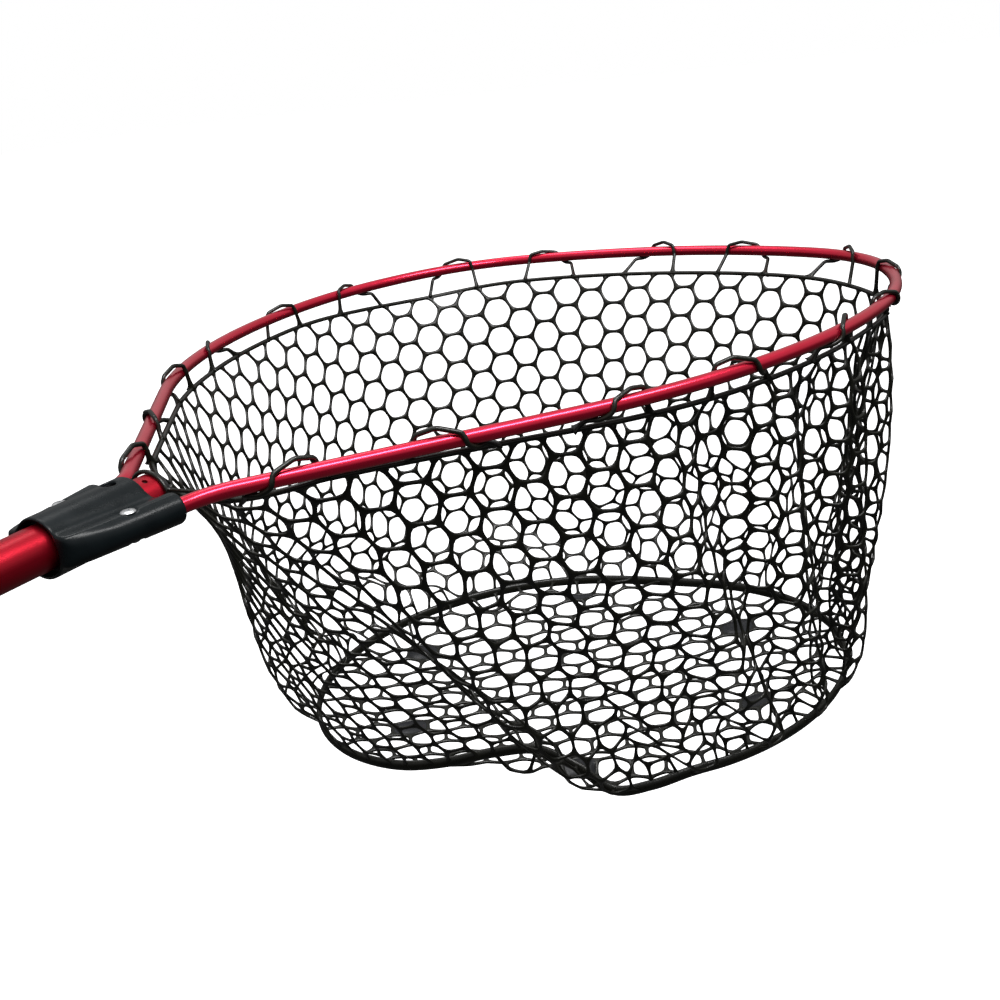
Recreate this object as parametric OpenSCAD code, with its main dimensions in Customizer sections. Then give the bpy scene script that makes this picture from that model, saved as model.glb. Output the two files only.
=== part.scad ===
// Landing net: a fluted handle that slides through a moulded yoke, a teardrop tube hoop
// and a knotless rubber-coated bag hung from the hoop by lacing loops.
// Origin: centre of the grip, on the handle's axis. +X runs to the hoop's tip, +Z is up.
// The hoop's tube centres lie in the plane z = 0.

/* [Handle] */
// Length of the handle tube
handle_l = 900; // [800:10:1100]
// Outside diameter of the handle tube
handle_d = 25; // [24:0.5:27]
// Wall of the handle tube
handle_wall = 1.5; // [1.2:0.1:2]
// Number of flutes pressed along the handle tube
flutes = 8; // [4:4:12]
// Length of the foam grip
grip_l = 250; // [200:5:300]
// Outside diameter of the foam grip
grip_d = 31; // [30:0.5:36]

/* [Hoop] */
// Outside diameter of the hoop's tube
tube_d = 9.5; // [8.5:0.5:10]
// Wall of the hoop's tube
tube_wall = 1.2; // [1:0.1:1.4]
// Width of the hoop between tube centres
hoop_w = 551; // [520:1:600]
// Heading of the straight sides, away from the handle's axis
spread = 39.5; // [38:0.5:42]

/* [Yoke] */
// Length of the yoke's barrel
barrel_l = 63; // [58:1:70]
// Outside diameter of the yoke's barrel
barrel_d = 34; // [33.5:0.5:36]
// Outside diameter of a leg socket at its mouth
socket_d = 17.5; // [16:0.5:19]

/* [Net] */
// Depth of the bag, from the hoop's plane to the floor seam
bag_depth = 345; // [260:5:400]
// Thickness of the simple solid that stands for the mesh
mesh_t = 3; // [2:0.5:4]
// Diameter of the rim cord
cord_d = 2.8; // [2:0.2:3.2]
// Lacing loops round the hoop
loops = 18; // [14:2:22]
// Flat tabs moulded into the floor
tabs = 6; // [4:1:10]

/* [Hidden] */

$fn = 64;
gap = 0.08;            // running clearance, on the radius
seat = 0.02;           // clearance of a pressed-in piece, on the radius
eps = 0.01;
bead = 0.1;            // a joint bead stands this far proud of its rod
joint_gap = 0.4;       // each rod stops this far short of the bead's centre

red = [0.74, 0.05, 0.13];
black = [0.07, 0.07, 0.08];
foam = [0.12, 0.12, 0.13];
silver = [0.78, 0.79, 0.80];
steel = [0.55, 0.56, 0.58];

// Handle
handle_r = handle_d / 2;
bore_r = handle_r - handle_wall;
rear_x = -grip_l / 2;
nose_x = rear_x + handle_l;
flute_r = 6;                             // radius of the tool that presses a flute
flute_depth = 0.5;
flute_c = handle_r + flute_r - flute_depth;

// Station where the hoop's legs leave their sockets: the head's own zero along X
nose_out = 7;                            // how far the tube's nose stands past that station
head_x = nose_x - nose_out;

// Hoop outline, from a socket to the tip: headings in degrees, radii in mm
leg_y = 32;                              // leg's distance from the axis at the station
leg_in = 58;                             // length of leg inside its socket
s0 = 9;                                  // heading of the socket
bend_r = 60;
neck_run = 45;                           // the rim cord leaves the hoop this far along the straight side
shoulder_r = 450;
side_r = 275;
corner_r = 165;
side_end = -30;                          // heading where the side turns into the corner
corner_end = -70;                        // heading where the corner turns into the tip
half_w = hoop_w / 2;
tip_r = (half_w + corner_r * (cos(corner_end) - cos(side_end)) - side_r * (1 - cos(side_end)))
    / cos(corner_end);
shoulder_y = half_w - shoulder_r * (1 - cos(spread));
side_l = (shoulder_y - leg_y - bend_r * (cos(s0) - cos(spread))) / sin(spread);

// Yoke, along X from the head's station
barrel_front = -10;
socket_mouth = -6;
barrel_rear = barrel_front - barrel_l;
barrel_r = barrel_d / 2;
mouth_chamfer = 1;
bush_r = handle_r + 2;
bush_rear = barrel_rear + 6;
mouth_r = bush_r + 1;                    // rear mouth, round the handle
bush_front = barrel_front - 1;
rib_r = flute_r - gap;
web_t = 11;
rivet_x = -35;
rivet_y = leg_y + rivet_x * tan(s0);
rivet_r = 2;
rivet_head_r = 4.2;
recess_r = 5;
socket_top = socket_d / 2 - 0.9;         // floor of a rivet's recess
waist_y = 23;                            // half width of the yoke at its rear end
waist_l = 16;                            // length over which its sides are cut to that width
waist_slope = 0.5;
rivet_tail = 0.7;                        // length of the upset tail in the recess under the socket

// Lock button
button_x = head_x - 22;
button_r = 3.75;
button_top = handle_r - 0.7;             // pressed flush with the tube
button_travel = 6.5;
flange_r = 5;
flange_t = 1.6;
flange_top = sqrt(bore_r * bore_r - flange_r * flange_r) - button_travel;
spring_z = -7.5;
spring_turns = 5;
coil_r = 3.4;
coil_wire_r = 0.45;
carrier_l = 26;
yoke_hole_r = 4.1;

// Rear end
cap_flange_t = 6;
cap_r = grip_d / 2 - 0.3;
cap_plug_l = 15;
lug_r = 9;
lug_t = 8;
lug_x = rear_x - cap_flange_t - 13;
hang_r = 4;
collar_l = 12;

// Net
rim_inset = 7;                           // rim cord inside the hoop's tube centre
rim_drop = 15;                           // rim cord below it
cord_r = cord_d / 2;
wire_r = 1;                              // lacing loops
slack = 0.1;                             // between a loop and what it goes round
creep = 38;                              // how far the loops have crept round, most at the tip
neck_bow = 27;                           // the rim cord's crossing bows this far towards the neck
neck_tilt = 80;                          // its plane, from upright
wall_top = -rim_drop - 7;
floor_x = head_x + 446;
floor_r = 184;                           // round ends of the floor
floor_shift = 39;                        // half the distance between the ends' centres
seam_r = 3;
tab_size = [24, 14, 1.2];
tab_ring = 145;
tab_shift = 20;                          // the ring's halves are moved apart by this much each
tab_turn = 21;                           // heading of the first tab
arc_step = 6;                            // degrees between corners of the wall's upper outline

// ---- Outline as a chain: [signed radius, heading at the start, heading at the end, length] ----
// A radius of 0 is a straight run. Left turns have a positive radius, right turns a negative one.
function chain(inset) = [
    [0, s0, s0, leg_in],
    [bend_r + inset, s0, spread, 0],
    [0, spread, spread, neck_run],
    [0, spread, spread, side_l - neck_run],
    [-shoulder_r + inset, spread, 0, 0],
    [-side_r + inset, 0, side_end, 0],
    [-corner_r + inset, side_end, corner_end, 0],
    [-tip_r + inset, corner_end, -90, 0]];
function right_of(h) = [sin(h), -cos(h)];
function chain_start(inset) = [head_x, leg_y] - leg_in * [cos(s0), sin(s0)] + inset * right_of(s0);
function arc_centre(p, r, h) = p - r * right_of(h);
function arc_point(p, r, h0, h1) = arc_centre(p, r, h0) + r * right_of(h1);
function seg_end(p, s) = s[0] == 0 ? p + s[3] * [cos(s[1]), sin(s[1])] : arc_point(p, s[0], s[1], s[2]);
function seg_length(s) = s[0] == 0 ? s[3] : abs(s[0] * (s[2] - s[1])) * PI / 180;
function joints(p, c, i = 0) = i == len(c) ? [p] : concat([p], joints(seg_end(p, c[i]), c, i + 1));
function total(c, i = 0) = i == len(c) ? 0 : seg_length(c[i]) + total(c, i + 1);

// Place and heading at a distance d along a segment, and along the chain
function along(p, s, d) = s[0] == 0 ? [p + d * [cos(s[1]), sin(s[1])], s[1]]
    : let (h = s[1] + d / s[0] * 180 / PI) [arc_point(p, s[0], s[1], h), h];
function station(c, p, d, i = 0) = d <= seg_length(c[i]) || i == len(c) - 1 ? along(p[i], c[i], d)
    : station(c, p, d - seg_length(c[i]), i + 1);

// Rod along one segment, from t0 after its start to t1 before its end
module seg_rod(p, s, r, t0, t1) {
    c = arc_centre(p, s[0], s[1]);
    turn = s[0] == 0 ? 0 : 180 / PI / abs(s[0]);
    if (s[0] == 0)
        translate([p[0], p[1], 0]) rotate([0, 90, s[1]]) translate([0, 0, t0])
            cylinder(r = r, h = s[3] - t0 - t1);
    else
        translate([c[0], c[1], 0]) rotate([0, 0, s[0] > 0 ? s[1] - 90 + t0 * turn : s[2] + 90 + t1 * turn])
            rotate_extrude(angle = abs(s[2] - s[1]) - (t0 + t1) * turn)
                translate([abs(s[0]), 0]) circle(r = r);
}

// Round rod along the whole outline, both halves, from segment number first. It starts lead
// before that segment, and a bead closes the joint between each segment and the next.
module outline_rod(inset, r, first, lead = 0) {
    c = chain(inset);
    p = joints(chain_start(inset), c);
    both_sides() for (i = [first : len(c) - 1]) {
        seg_rod(p[i], c[i], r, i == first ? -lead : joint_gap, joint_gap);
        if (i > first) translate([p[i][0], p[i][1], 0]) sphere(r = r + bead);
    }
    translate([p[len(c)][0], 0, 0]) sphere(r = r + bead);
}

module both_sides() {
    children();
    mirror([0, 1, 0]) children();
}

// ---- Handle ----
module handle_profile(r, tool_r) {
    difference() {
        circle(r = r);
        for (i = [0 : flutes - 1]) rotate((i + 0.5) * 360 / flutes)
            translate([flute_c, 0]) circle(r = tool_r);
    }
}

module along_x(x0, x1) {
    translate([x0, 0, 0]) rotate([0, 90, 0]) linear_extrude(x1 - x0) children();
}

module rod_x(x0, x1, r) {
    translate([x0, 0, 0]) rotate([0, 90, 0]) cylinder(r = r, h = x1 - x0);
}

module cone_x(x0, x1, r0, r1) {
    translate([x0, 0, 0]) rotate([0, 90, 0]) cylinder(r1 = r0, r2 = r1, h = x1 - x0);
}

module handle_tube() {
    pin_r = 1.6;
    color(red) difference() {
        along_x(rear_x, nose_x) difference() {
            handle_profile(handle_r, flute_r);
            circle(r = bore_r);
        }
        translate([button_x, 0, 0]) cylinder(r = button_r + gap, h = handle_d);
        translate([nose_x - 4.5, 0, 0]) rotate([25, 0, 0]) cylinder(r = pin_r, h = handle_d);
    }
}

module nose_plug() {
    lip = 2.5;
    depth = 12;
    color(black) union() {
        rod_x(nose_x + eps, nose_x + lip, handle_r - 0.5);
        rod_x(nose_x - depth, nose_x + lip, bore_r - seat);
    }
}

module button_carrier() {
    color(black) difference() {
        rod_x(button_x - carrier_l / 2, button_x + carrier_l / 2, bore_r - seat);
        translate([button_x, 0, spring_z]) cylinder(r = flange_r + gap, h = handle_d);
    }
}

module lock_spring() {
    h = flange_top - flange_t - spring_z - 2 * coil_wire_r;
    color(steel) translate([button_x, 0, spring_z + coil_wire_r])
        linear_extrude(h, twist = -360 * spring_turns, slices = 14 * spring_turns, $fn = 8)
            translate([coil_r, 0]) scale([1, 2]) circle(r = coil_wire_r);
}

module lock_button() {
    chamfer = 0.8;
    body_h = button_top - flange_top;
    color(steel) translate([button_x, 0, flange_top]) union() {
        cylinder(r = button_r, h = body_h - chamfer);
        translate([0, 0, body_h - chamfer]) cylinder(r1 = button_r, r2 = button_r - chamfer, h = chamfer);
        translate([0, 0, -flange_t]) cylinder(r = flange_r, h = flange_t);
    }
}

module grip() {
    color(foam) difference() {
        rod_x(rear_x + eps, -rear_x, grip_d / 2);
        rod_x(rear_x - 1, 1 - rear_x, handle_r + seat);
    }
}

module grip_collar() {
    taper = 4;
    front = collar_l - rear_x;
    color(black) difference() {
        union() {
            rod_x(eps - rear_x, front - taper, grip_d / 2 - 0.5);
            cone_x(front - taper, front, grip_d / 2 - 0.5, handle_r + 1);
        }
        rod_x(-rear_x - 1, front + 1, handle_r + seat);
    }
}

module butt_cap() {
    back = rear_x - cap_flange_t;
    color(black) difference() {
        union() {
            rod_x(rear_x, rear_x + cap_plug_l, bore_r - seat);
            rod_x(back + 2, rear_x, cap_r);
            cone_x(back, back + 2, cap_r - 2, cap_r);
            translate([lug_x, -lug_t / 2, -lug_r]) cube([back - lug_x + 1, lug_t, 2 * lug_r]);
            translate([lug_x, lug_t / 2, 0]) rotate([90, 0, 0]) cylinder(r = lug_r, h = lug_t);
        }
        translate([lug_x, lug_t, 0]) rotate([90, 0, 0]) cylinder(r = hang_r, h = 2 * lug_t);
    }
}

// ---- Yoke ----
module socket_solid() {
    run = (socket_mouth - barrel_rear) / cos(s0);
    translate([head_x + socket_mouth, leg_y + socket_mouth * tan(s0), 0]) rotate([0, 90, s0 + 180])
        cylinder(r1 = socket_d / 2, r2 = socket_d / 2 - 0.8, h = run);
}

module socket_bore() {
    translate([head_x, leg_y, 0]) rotate([0, 90, s0 + 180]) translate([0, 0, -1])
        cylinder(r = tube_d / 2 + seat, h = leg_in + 1.5);
}

// Cuts the yoke's outer rear corners away on one side
module waist_cut() {
    rear = head_x + barrel_rear;
    wide = waist_y + waist_l * waist_slope;
    translate([0, 0, -socket_d]) linear_extrude(2 * socket_d)
        polygon([[rear - 1, waist_y - waist_slope], [rear + waist_l, wide], [rear + waist_l, 2 * wide],
            [rear - 1, 2 * wide]]);
}

module yoke_body() {
    rear = head_x + barrel_rear;
    front = head_x + barrel_front;
    web_rear_y = leg_y + barrel_rear * tan(s0);
    web_front_y = leg_y + barrel_front * tan(s0);
    color(black) difference() {
        union() {
            rod_x(rear + mouth_chamfer, front, barrel_r);
            cone_x(rear, rear + mouth_chamfer, barrel_r - mouth_chamfer, barrel_r);
            both_sides() socket_solid();
            translate([0, 0, -web_t / 2]) linear_extrude(web_t)
                polygon([[rear, -web_rear_y], [front, -web_front_y], [front, web_front_y],
                    [rear, web_rear_y]]);
        }
        rod_x(rear - 1, front + 1, bush_r);
        cone_x(rear - eps, head_x + bush_rear, mouth_r, bush_r);
        both_sides() socket_bore();
        both_sides() waist_cut();
        both_sides() translate([head_x + rivet_x, rivet_y, 0]) {
            cylinder(r = rivet_r + seat, h = 3 * socket_d, center = true);
            translate([0, 0, socket_top]) cylinder(r = recess_r, h = socket_d);
            mirror([0, 0, 1]) translate([0, 0, socket_top]) cylinder(r = recess_r, h = socket_d);
        }
        translate([button_x, 0, 0]) cylinder(r = yoke_hole_r, h = barrel_d);
    }
}

module yoke_bush() {
    color(foam) difference() {
        along_x(head_x + bush_rear, head_x + bush_front) difference() {
            circle(r = bush_r - seat);
            handle_profile(handle_r + gap, rib_r);
        }
        translate([button_x, 0, 0]) cylinder(r = yoke_hole_r, h = barrel_d);
    }
}

module hoop() {
    color(red) difference() {
        outline_rod(0, tube_d / 2, 0);
        outline_rod(0, tube_d / 2 - tube_wall, 0, 1);
        both_sides() translate([head_x + rivet_x, rivet_y, 0])
            cylinder(r = rivet_r + seat, h = 2 * tube_d, center = true);
    }
}

module leg_rivets() {
    head_t = 1;
    pin_r = 0.95;
    color(silver) both_sides() translate([head_x + rivet_x, rivet_y, 0]) difference() {
        union() {
            translate([0, 0, -socket_top - rivet_tail + 0.1])
                cylinder(r = rivet_r, h = 2 * socket_top + rivet_tail);
            translate([0, 0, socket_top + seat]) cylinder(r1 = rivet_head_r, r2 = rivet_head_r - 1, h = head_t);
            translate([0, 0, -socket_top - rivet_tail]) cylinder(r = rivet_r + 0.9, h = rivet_tail - seat);
        }
        cylinder(r = pin_r, h = 3 * socket_d, center = true);
    }
}

module rivet_mandrels() {
    pin_r = 0.95 - seat;
    ball_r = 1.5;
    ball_t = 0.4;
    top = socket_top + 0.6;
    bottom = -socket_top - rivet_tail;
    color(steel) both_sides() translate([head_x + rivet_x, rivet_y, 0]) union() {
        translate([0, 0, bottom - ball_t / 2]) cylinder(r = pin_r, h = top - bottom + ball_t / 2);
        translate([0, 0, bottom - ball_t]) cylinder(r = ball_r, h = ball_t - seat);
    }
}

// ---- Net ----
module rim_cord() {
    first = 3;
    p = joints(chain_start(rim_inset), chain(rim_inset))[first];
    neck_r = (p[1] * p[1] + neck_bow * neck_bow) / (2 * neck_bow);
    half_angle = asin(p[1] / neck_r);
    trim = joint_gap / neck_r * 180 / PI;
    color(black) union() {
        translate([0, 0, -rim_drop]) outline_rod(rim_inset, cord_r, first, -joint_gap);
        translate([p[0], 0, -rim_drop]) rotate([0, neck_tilt, 0]) translate([0, 0, neck_r - neck_bow])
            rotate([90, 0, 90]) rotate([0, 0, trim - 90 - half_angle]) rotate_extrude(angle = 2 * (half_angle - trim))
                translate([neck_r, 0]) circle(r = cord_r);
        both_sides() translate([p[0], p[1], -rim_drop]) sphere(r = cord_r + bead);
    }
}

// Loop drawn tight round the hoop's tube (at 0) and the rim cord, in the plane x = inwards, y = up
module belt_loop() {
    big = tube_d / 2 + slack + wire_r;
    small = cord_r + slack + wire_r;
    reach = norm([rim_inset, rim_drop]);
    aim = atan2(-rim_drop, rim_inset);
    wrap = acos((big - small) / reach);
    straight = sqrt(reach * reach - (big - small) * (big - small));
    lap = 0.3;                           // the straights run this far over the arcs' ends
    rotate(aim + wrap) rotate_extrude(angle = 360 - 2 * wrap) translate([big, 0]) circle(r = wire_r);
    translate([rim_inset, -rim_drop, 0]) rotate(aim - wrap)
        rotate_extrude(angle = 2 * wrap) translate([small, 0]) circle(r = wire_r);
    for (side = [-1, 1]) rotate(aim + side * wrap) translate([big, 0, 0])
        rotate([90 * side, 0, 0]) translate([0, 0, -lap]) cylinder(r = wire_r + lap / 6, h = straight + 2 * lap);
}

module rim_loops() {
    c = chain(0);
    p = joints(chain_start(0), c);
    half = total(c) - leg_in;
    color(black) for (i = [0 : loops - 1]) {
        even = (i + 0.5) * 2 * half / loops;
        d = even + creep * pow(sin(90 * even / half), 2);
        far = d <= half;
        s = station(c, p, leg_in + (far ? d : 2 * half - d));
        mirror([0, far ? 0 : 1, 0]) translate([s[0][0], s[0][1], 0]) rotate([90, 0, s[1] - 90])
            belt_loop();
    }
}

module neck_loop() {
    x = nose_x - 2.5;
    ring_r = handle_r + 1.4 + wire_r;
    color(black) translate([x, 0, 0]) rotate([0, 90, 0])
        rotate_extrude() translate([ring_r, 0]) circle(r = wire_r);
}

// Corners of the wall's upper outline, from the straight side's start round the tip
function arc_corners(p, s) = let (n = ceil(abs(s[2] - s[1]) / arc_step))
    [for (i = [0 : n - 1]) arc_point(p, s[0], s[1], s[1] + (s[2] - s[1]) * i / n)];
function upper_half(inset) = let (c = chain(inset), p = joints(chain_start(inset), c))
    concat([p[3]], [for (i = [4 : len(c) - 1]) each arc_corners(p[i], c[i])], [p[len(c)]]);

module upper_outline(inset) {
    half = upper_half(inset);
    polygon(concat(half, [for (i = [len(half) - 2 : -1 : 0]) [half[i][0], -half[i][1]]]));
}

module floor_outline(r) {
    for (side = [-1, 1]) translate([floor_x, side * floor_shift]) circle(r = r);
    translate([floor_x - r, -floor_shift]) square([2 * r, 2 * floor_shift]);
}

// Solid bag body between two heights, with its outline moved inwards by inset
module bag_solid(inset, top, bottom) {
    hull() {
        translate([0, 0, top - eps]) linear_extrude(eps) upper_outline(rim_inset + inset);
        translate([0, 0, bottom]) linear_extrude(eps) floor_outline(floor_r - inset);
    }
}

module net_wall() {
    bottom = -bag_depth + seam_r + 0.3;
    color(black) difference() {
        bag_solid(-mesh_t / 2, wall_top, bottom);
        bag_solid(mesh_t / 2, wall_top + 1, bottom - 1);
    }
}

module net_floor() {
    color(black) translate([0, 0, -bag_depth - mesh_t / 2]) linear_extrude(mesh_t)
        floor_outline(floor_r - seam_r - 0.3);
}

module floor_seam() {
    color(black) translate([floor_x, 0, -bag_depth]) both_sides() {
        translate([0, floor_shift, 0]) rotate_extrude(angle = 180)
            translate([floor_r, 0]) circle(r = seam_r);
        for (side = [-1, 1]) translate([side * floor_r, 0, 0]) rotate([-90, 0, 0])
            cylinder(r = seam_r, h = floor_shift);
    }
}

module floor_tabs() {
    z = -bag_depth + mesh_t / 2 + 0.1;
    color(black) for (i = [0 : tabs - 1]) {
        turn = tab_turn + i * 360 / tabs;
        y = tab_ring * sin(turn) + tab_shift * sign(sin(turn));
        translate([floor_x + tab_ring * cos(turn), y, z + tab_size[2] / 2])
            rotate(turn + 90) cube(tab_size, center = true);
    }
}

handle_tube();
nose_plug();
button_carrier();
lock_spring();
grip();
grip_collar();
butt_cap();
lock_button();
yoke_body();
yoke_bush();
hoop();
leg_rivets();
rivet_mandrels();
rim_cord();
rim_loops();
neck_loop();
net_wall();
net_floor();
floor_seam();
floor_tabs();
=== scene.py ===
"""Landing net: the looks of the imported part, built in the part's own frame.

Shapes are worked out in millimetres and stored in metres. The hoop, its lacing and the handle follow
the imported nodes' boxes; the bag is a sheet of hexagons hung from the rim cord by a small simulation.
"""

import math
from collections import Counter

import bmesh
import bpy
import numpy as np
from mathutils import Matrix, Vector


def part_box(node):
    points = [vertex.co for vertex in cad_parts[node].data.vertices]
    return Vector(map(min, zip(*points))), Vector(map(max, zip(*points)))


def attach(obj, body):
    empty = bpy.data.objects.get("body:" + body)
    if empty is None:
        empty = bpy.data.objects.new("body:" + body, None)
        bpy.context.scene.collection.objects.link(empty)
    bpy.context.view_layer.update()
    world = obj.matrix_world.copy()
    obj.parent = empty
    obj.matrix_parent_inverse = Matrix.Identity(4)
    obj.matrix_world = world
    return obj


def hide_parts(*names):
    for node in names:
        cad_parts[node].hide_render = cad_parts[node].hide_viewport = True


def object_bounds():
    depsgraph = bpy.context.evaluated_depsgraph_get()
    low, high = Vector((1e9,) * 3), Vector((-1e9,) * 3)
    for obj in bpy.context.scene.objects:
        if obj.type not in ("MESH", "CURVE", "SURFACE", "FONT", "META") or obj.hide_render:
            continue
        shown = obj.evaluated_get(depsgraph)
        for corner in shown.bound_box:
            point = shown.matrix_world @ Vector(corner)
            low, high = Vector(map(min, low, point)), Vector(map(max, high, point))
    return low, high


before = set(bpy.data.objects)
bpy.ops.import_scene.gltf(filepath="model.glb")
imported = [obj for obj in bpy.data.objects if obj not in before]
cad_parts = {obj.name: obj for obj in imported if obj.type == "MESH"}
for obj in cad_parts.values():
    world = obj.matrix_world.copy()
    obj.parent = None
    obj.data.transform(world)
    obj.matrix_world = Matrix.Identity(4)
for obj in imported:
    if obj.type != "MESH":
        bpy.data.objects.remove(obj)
cad_low, cad_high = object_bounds()

MM = 0.001
SEED = 4


def cad_box(node):
    """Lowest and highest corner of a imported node, in millimetres."""
    low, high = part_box(node)
    return np.array(low) / MM, np.array(high) / MM


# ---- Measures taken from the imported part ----
handle_low, handle_high = cad_box("handle_tube")
grip_low, grip_high = cad_box("grip")
yoke_low, yoke_high = cad_box("yoke_body")
hoop_low, hoop_high = cad_box("hoop")
seam_low, seam_high = cad_box("floor_seam")
cap_low, cap_high = cad_box("butt_cap")
collar_low, collar_high = cad_box("grip_collar")
button_low, button_high = cad_box("lock_button")

REAR_X = handle_low[0]
NOSE_X = handle_high[0]
HANDLE_R = handle_high[2]
HANDLE_WALL = 1.5
BORE_R = HANDLE_R - HANDLE_WALL
FLUTES = 8
FLUTE_DEPTH = 0.02               # shown shallower than packed: only faint bands catch the light
HEAD_X = NOSE_X - 7.0            # station where the hoop's legs leave their sockets
TUBE_R = 4.75
BEAD = 0.1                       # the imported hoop's joint beads stand this far proud
HALF_W = hoop_high[1] - TUBE_R - BEAD

# Hoop outline, from a leg to the tip: lengths and radii in millimetres, headings in degrees
LEG_Y = 32.0                     # the legs leave their sockets this far from the axis
LEG_IN = 58.0                    # and reach this far into them
SOCKET_TURN = 9.0                # heading of the sockets
SPREAD = 39.5                    # heading of the straight sides
SIDE_END = -30.0                 # heading where the side's arc meets the corner's
CORNER_END = -70.0               # heading where the corner's arc meets the tip's
BEND_R = 60.0
SHOULDER_R = 450.0
SIDE_R = 275.0
CORNER_R = 165.0

# Rim cord: its path under the hoop, spans measured forwards from the head's station
CORD_R = 1.9
RIM_INSET = 7.0                  # the cord runs this far inside the hoop's centre line
TIP_INSET = 14.0                 # further in at the tip
RIM_DROP = 15.0                  # it hangs this far below the hoop
NECK_LIFT = 7.0                  # less far at the neck
CORNER_SAG = 9.0                 # further round the tip's corners
TIP_EASE = 0.7                   # share of that sag which is gone again at the tip
NECK_SPAN = (60, 300)
CORNER_SPAN = (430, 640)
TIP_SPAN = (600, 690)
NECK_RUN = 45.0                  # it leaves the hoop this far along the straight side, to cross over
NECK_BOW = 27.0                  # the crossing bows this far towards the neck
NECK_DIP = 8.0                   # and dips this far, to pass under the sliding handle

# Bag
CELL = 16.5                      # side of a hexagon
ROW = CELL * math.sqrt(3)
PERIODS = 40                     # pairs of hexagon columns round the bag
SHEET_L = 3 * CELL * PERIODS     # length of the undraped wall
CROWD = (0.5, 0.72, 0.13)        # columns stand this much denser, there (share of the way round), this wide
ROWS = 12                        # hexagons from the rim cord to the floor seam
SEAM_NODES = 3 * PERIODS
SEAM_R = 3.0
BAG_DEPTH = -(seam_low[2] + SEAM_R)
FLOOR_X = (seam_low[0] + seam_high[0]) / 2
FLOOR_R = (seam_high[0] - seam_low[0]) / 2 - SEAM_R
FLOOR_SHIFT = (seam_high[1] - seam_low[1]) / 2 - SEAM_R - FLOOR_R
SEAM_LENGTH = 2 * math.pi * FLOOR_R + 4 * FLOOR_SHIFT
FLOOR_TIGHT = 0.94               # the floor's strands, as a share of a hexagon's side

# How the seam ring hangs
SEAM_RAISE = 10.7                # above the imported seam
SEAM_TILT = (0.044, 0.043)       # rise per millimetre towards the tip and sideways
SEAM_SHEAR = -0.237              # its points are moved this far along X per millimetre sideways
PINCH_TURN = 192.4               # the pinch: its heading from the floor's centre and its width, in degrees
PINCH_WIDTH = 19.0
PINCH_IN = 29.0
PINCH_LIFT = 19.4
LOBES = ((20.4, 6.7, 21.8), (-31, 19, -4.5))   # beside the pinch: degrees from it, width, drop


# ---- Small maths ----
def cosd(angle):
    return math.cos(math.radians(angle))


def sind(angle):
    return math.sin(math.radians(angle))


def cosines(angles):
    return np.cos(np.radians(angles))


def sines(angles):
    return np.sin(np.radians(angles))


def ease(x, low, high):
    """0 below low, 1 above high, smooth between."""
    t = np.clip((x - low) / (high - low), 0, 1)
    return t * t * (3 - 2 * t)


def unit(v):
    """Vectors brought to length 1."""
    return v / np.maximum(np.linalg.norm(v, axis=-1, keepdims=True), 1e-9)


def run_lengths(line):
    """Distance along a line at each of its points."""
    return np.r_[0, np.cumsum(np.linalg.norm(np.diff(line, axis=0), axis=1))]


def at_distance(line, distance):
    """Points at these distances along an open line."""
    d = run_lengths(line)
    return np.column_stack([np.interp(distance, d, line[:, i]) for i in range(line.shape[1])])


def at_share(line, share):
    """Points at shares of the length of a closed line."""
    ring = np.vstack([line, line[:1]])
    return at_distance(ring, (share % 1.0) * run_lengths(ring)[-1])


def spline(points, per_span, closed=False):
    """Catmull-Rom curve through the points, with per_span steps between each two."""
    p = np.asarray(points, float)
    if closed:
        p = np.vstack([p[-1:], p, p[:2]])
    else:
        p = np.vstack([2 * p[0] - p[1], p, 2 * p[-1] - p[-2]])
    t = (np.arange(per_span) / per_span)[:, None]
    parts = []
    for a, b, c, d in zip(p[:-3], p[1:-2], p[2:-1], p[3:]):
        parts.append(0.5 * (2 * b + (c - a) * t + (2 * a - 5 * b + 4 * c - d) * t ** 2
                            + (3 * b - a - 3 * c + d) * t ** 3))
    curve = np.vstack(parts)
    return curve if closed else np.vstack([curve, p[-2:-1]])


# ---- Meshes ----
def link_mesh(name, verts, faces):
    """An object with this mesh, its points given in millimetres, its faces turned outwards."""
    mesh = bpy.data.meshes.new(name)
    mesh.from_pydata((np.asarray(verts) * MM).tolist(), [], faces)
    work = bmesh.new()
    work.from_mesh(mesh)
    bmesh.ops.recalc_face_normals(work, faces=work.faces)
    work.to_mesh(mesh)
    work.free()
    mesh.shade_smooth()
    obj = bpy.data.objects.new(name, mesh)
    bpy.context.scene.collection.objects.link(obj)
    return obj


def add_piece(obj, body, material, stands_for=(), sharp=None):
    """Gives a finished object its finish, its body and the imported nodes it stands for."""
    obj.data.materials.clear()
    obj.data.materials.append(material)
    if sharp:
        obj.data.set_sharp_from_angle(angle=math.radians(sharp))
    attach(obj, body)
    if stands_for:
        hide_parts(*stands_for)
    return obj


def grid_faces(rings, sides, closed):
    """Quads between rings of points; a closed sweep joins the last ring to the first."""
    faces = []
    for i in range(rings if closed else rings - 1):
        a, b = i * sides, (i + 1) % rings * sides
        for k in range(sides):
            n = (k + 1) % sides
            faces.append((a + k, a + n, b + n, b + k))
    return faces


def frames_along(line, closed, up=None):
    """Side and up vectors at each point of a line: level if up is given, else carried along it."""
    if closed:
        tangent = unit(np.roll(line, -1, 0) - np.roll(line, 1, 0))
    else:
        tangent = unit(np.gradient(line, axis=0))
    if up is not None:
        side = unit(np.cross(tangent, np.broadcast_to(up, tangent.shape)))
        return side, np.cross(side, tangent)
    first = np.cross(tangent[0], [0.3, 0.2, 1.0])
    side = [unit(first)]
    for t in tangent[1:]:
        side.append(unit(side[-1] - (side[-1] @ t) * t))
    side = np.array(side)
    return side, np.cross(side, tangent)


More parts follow.
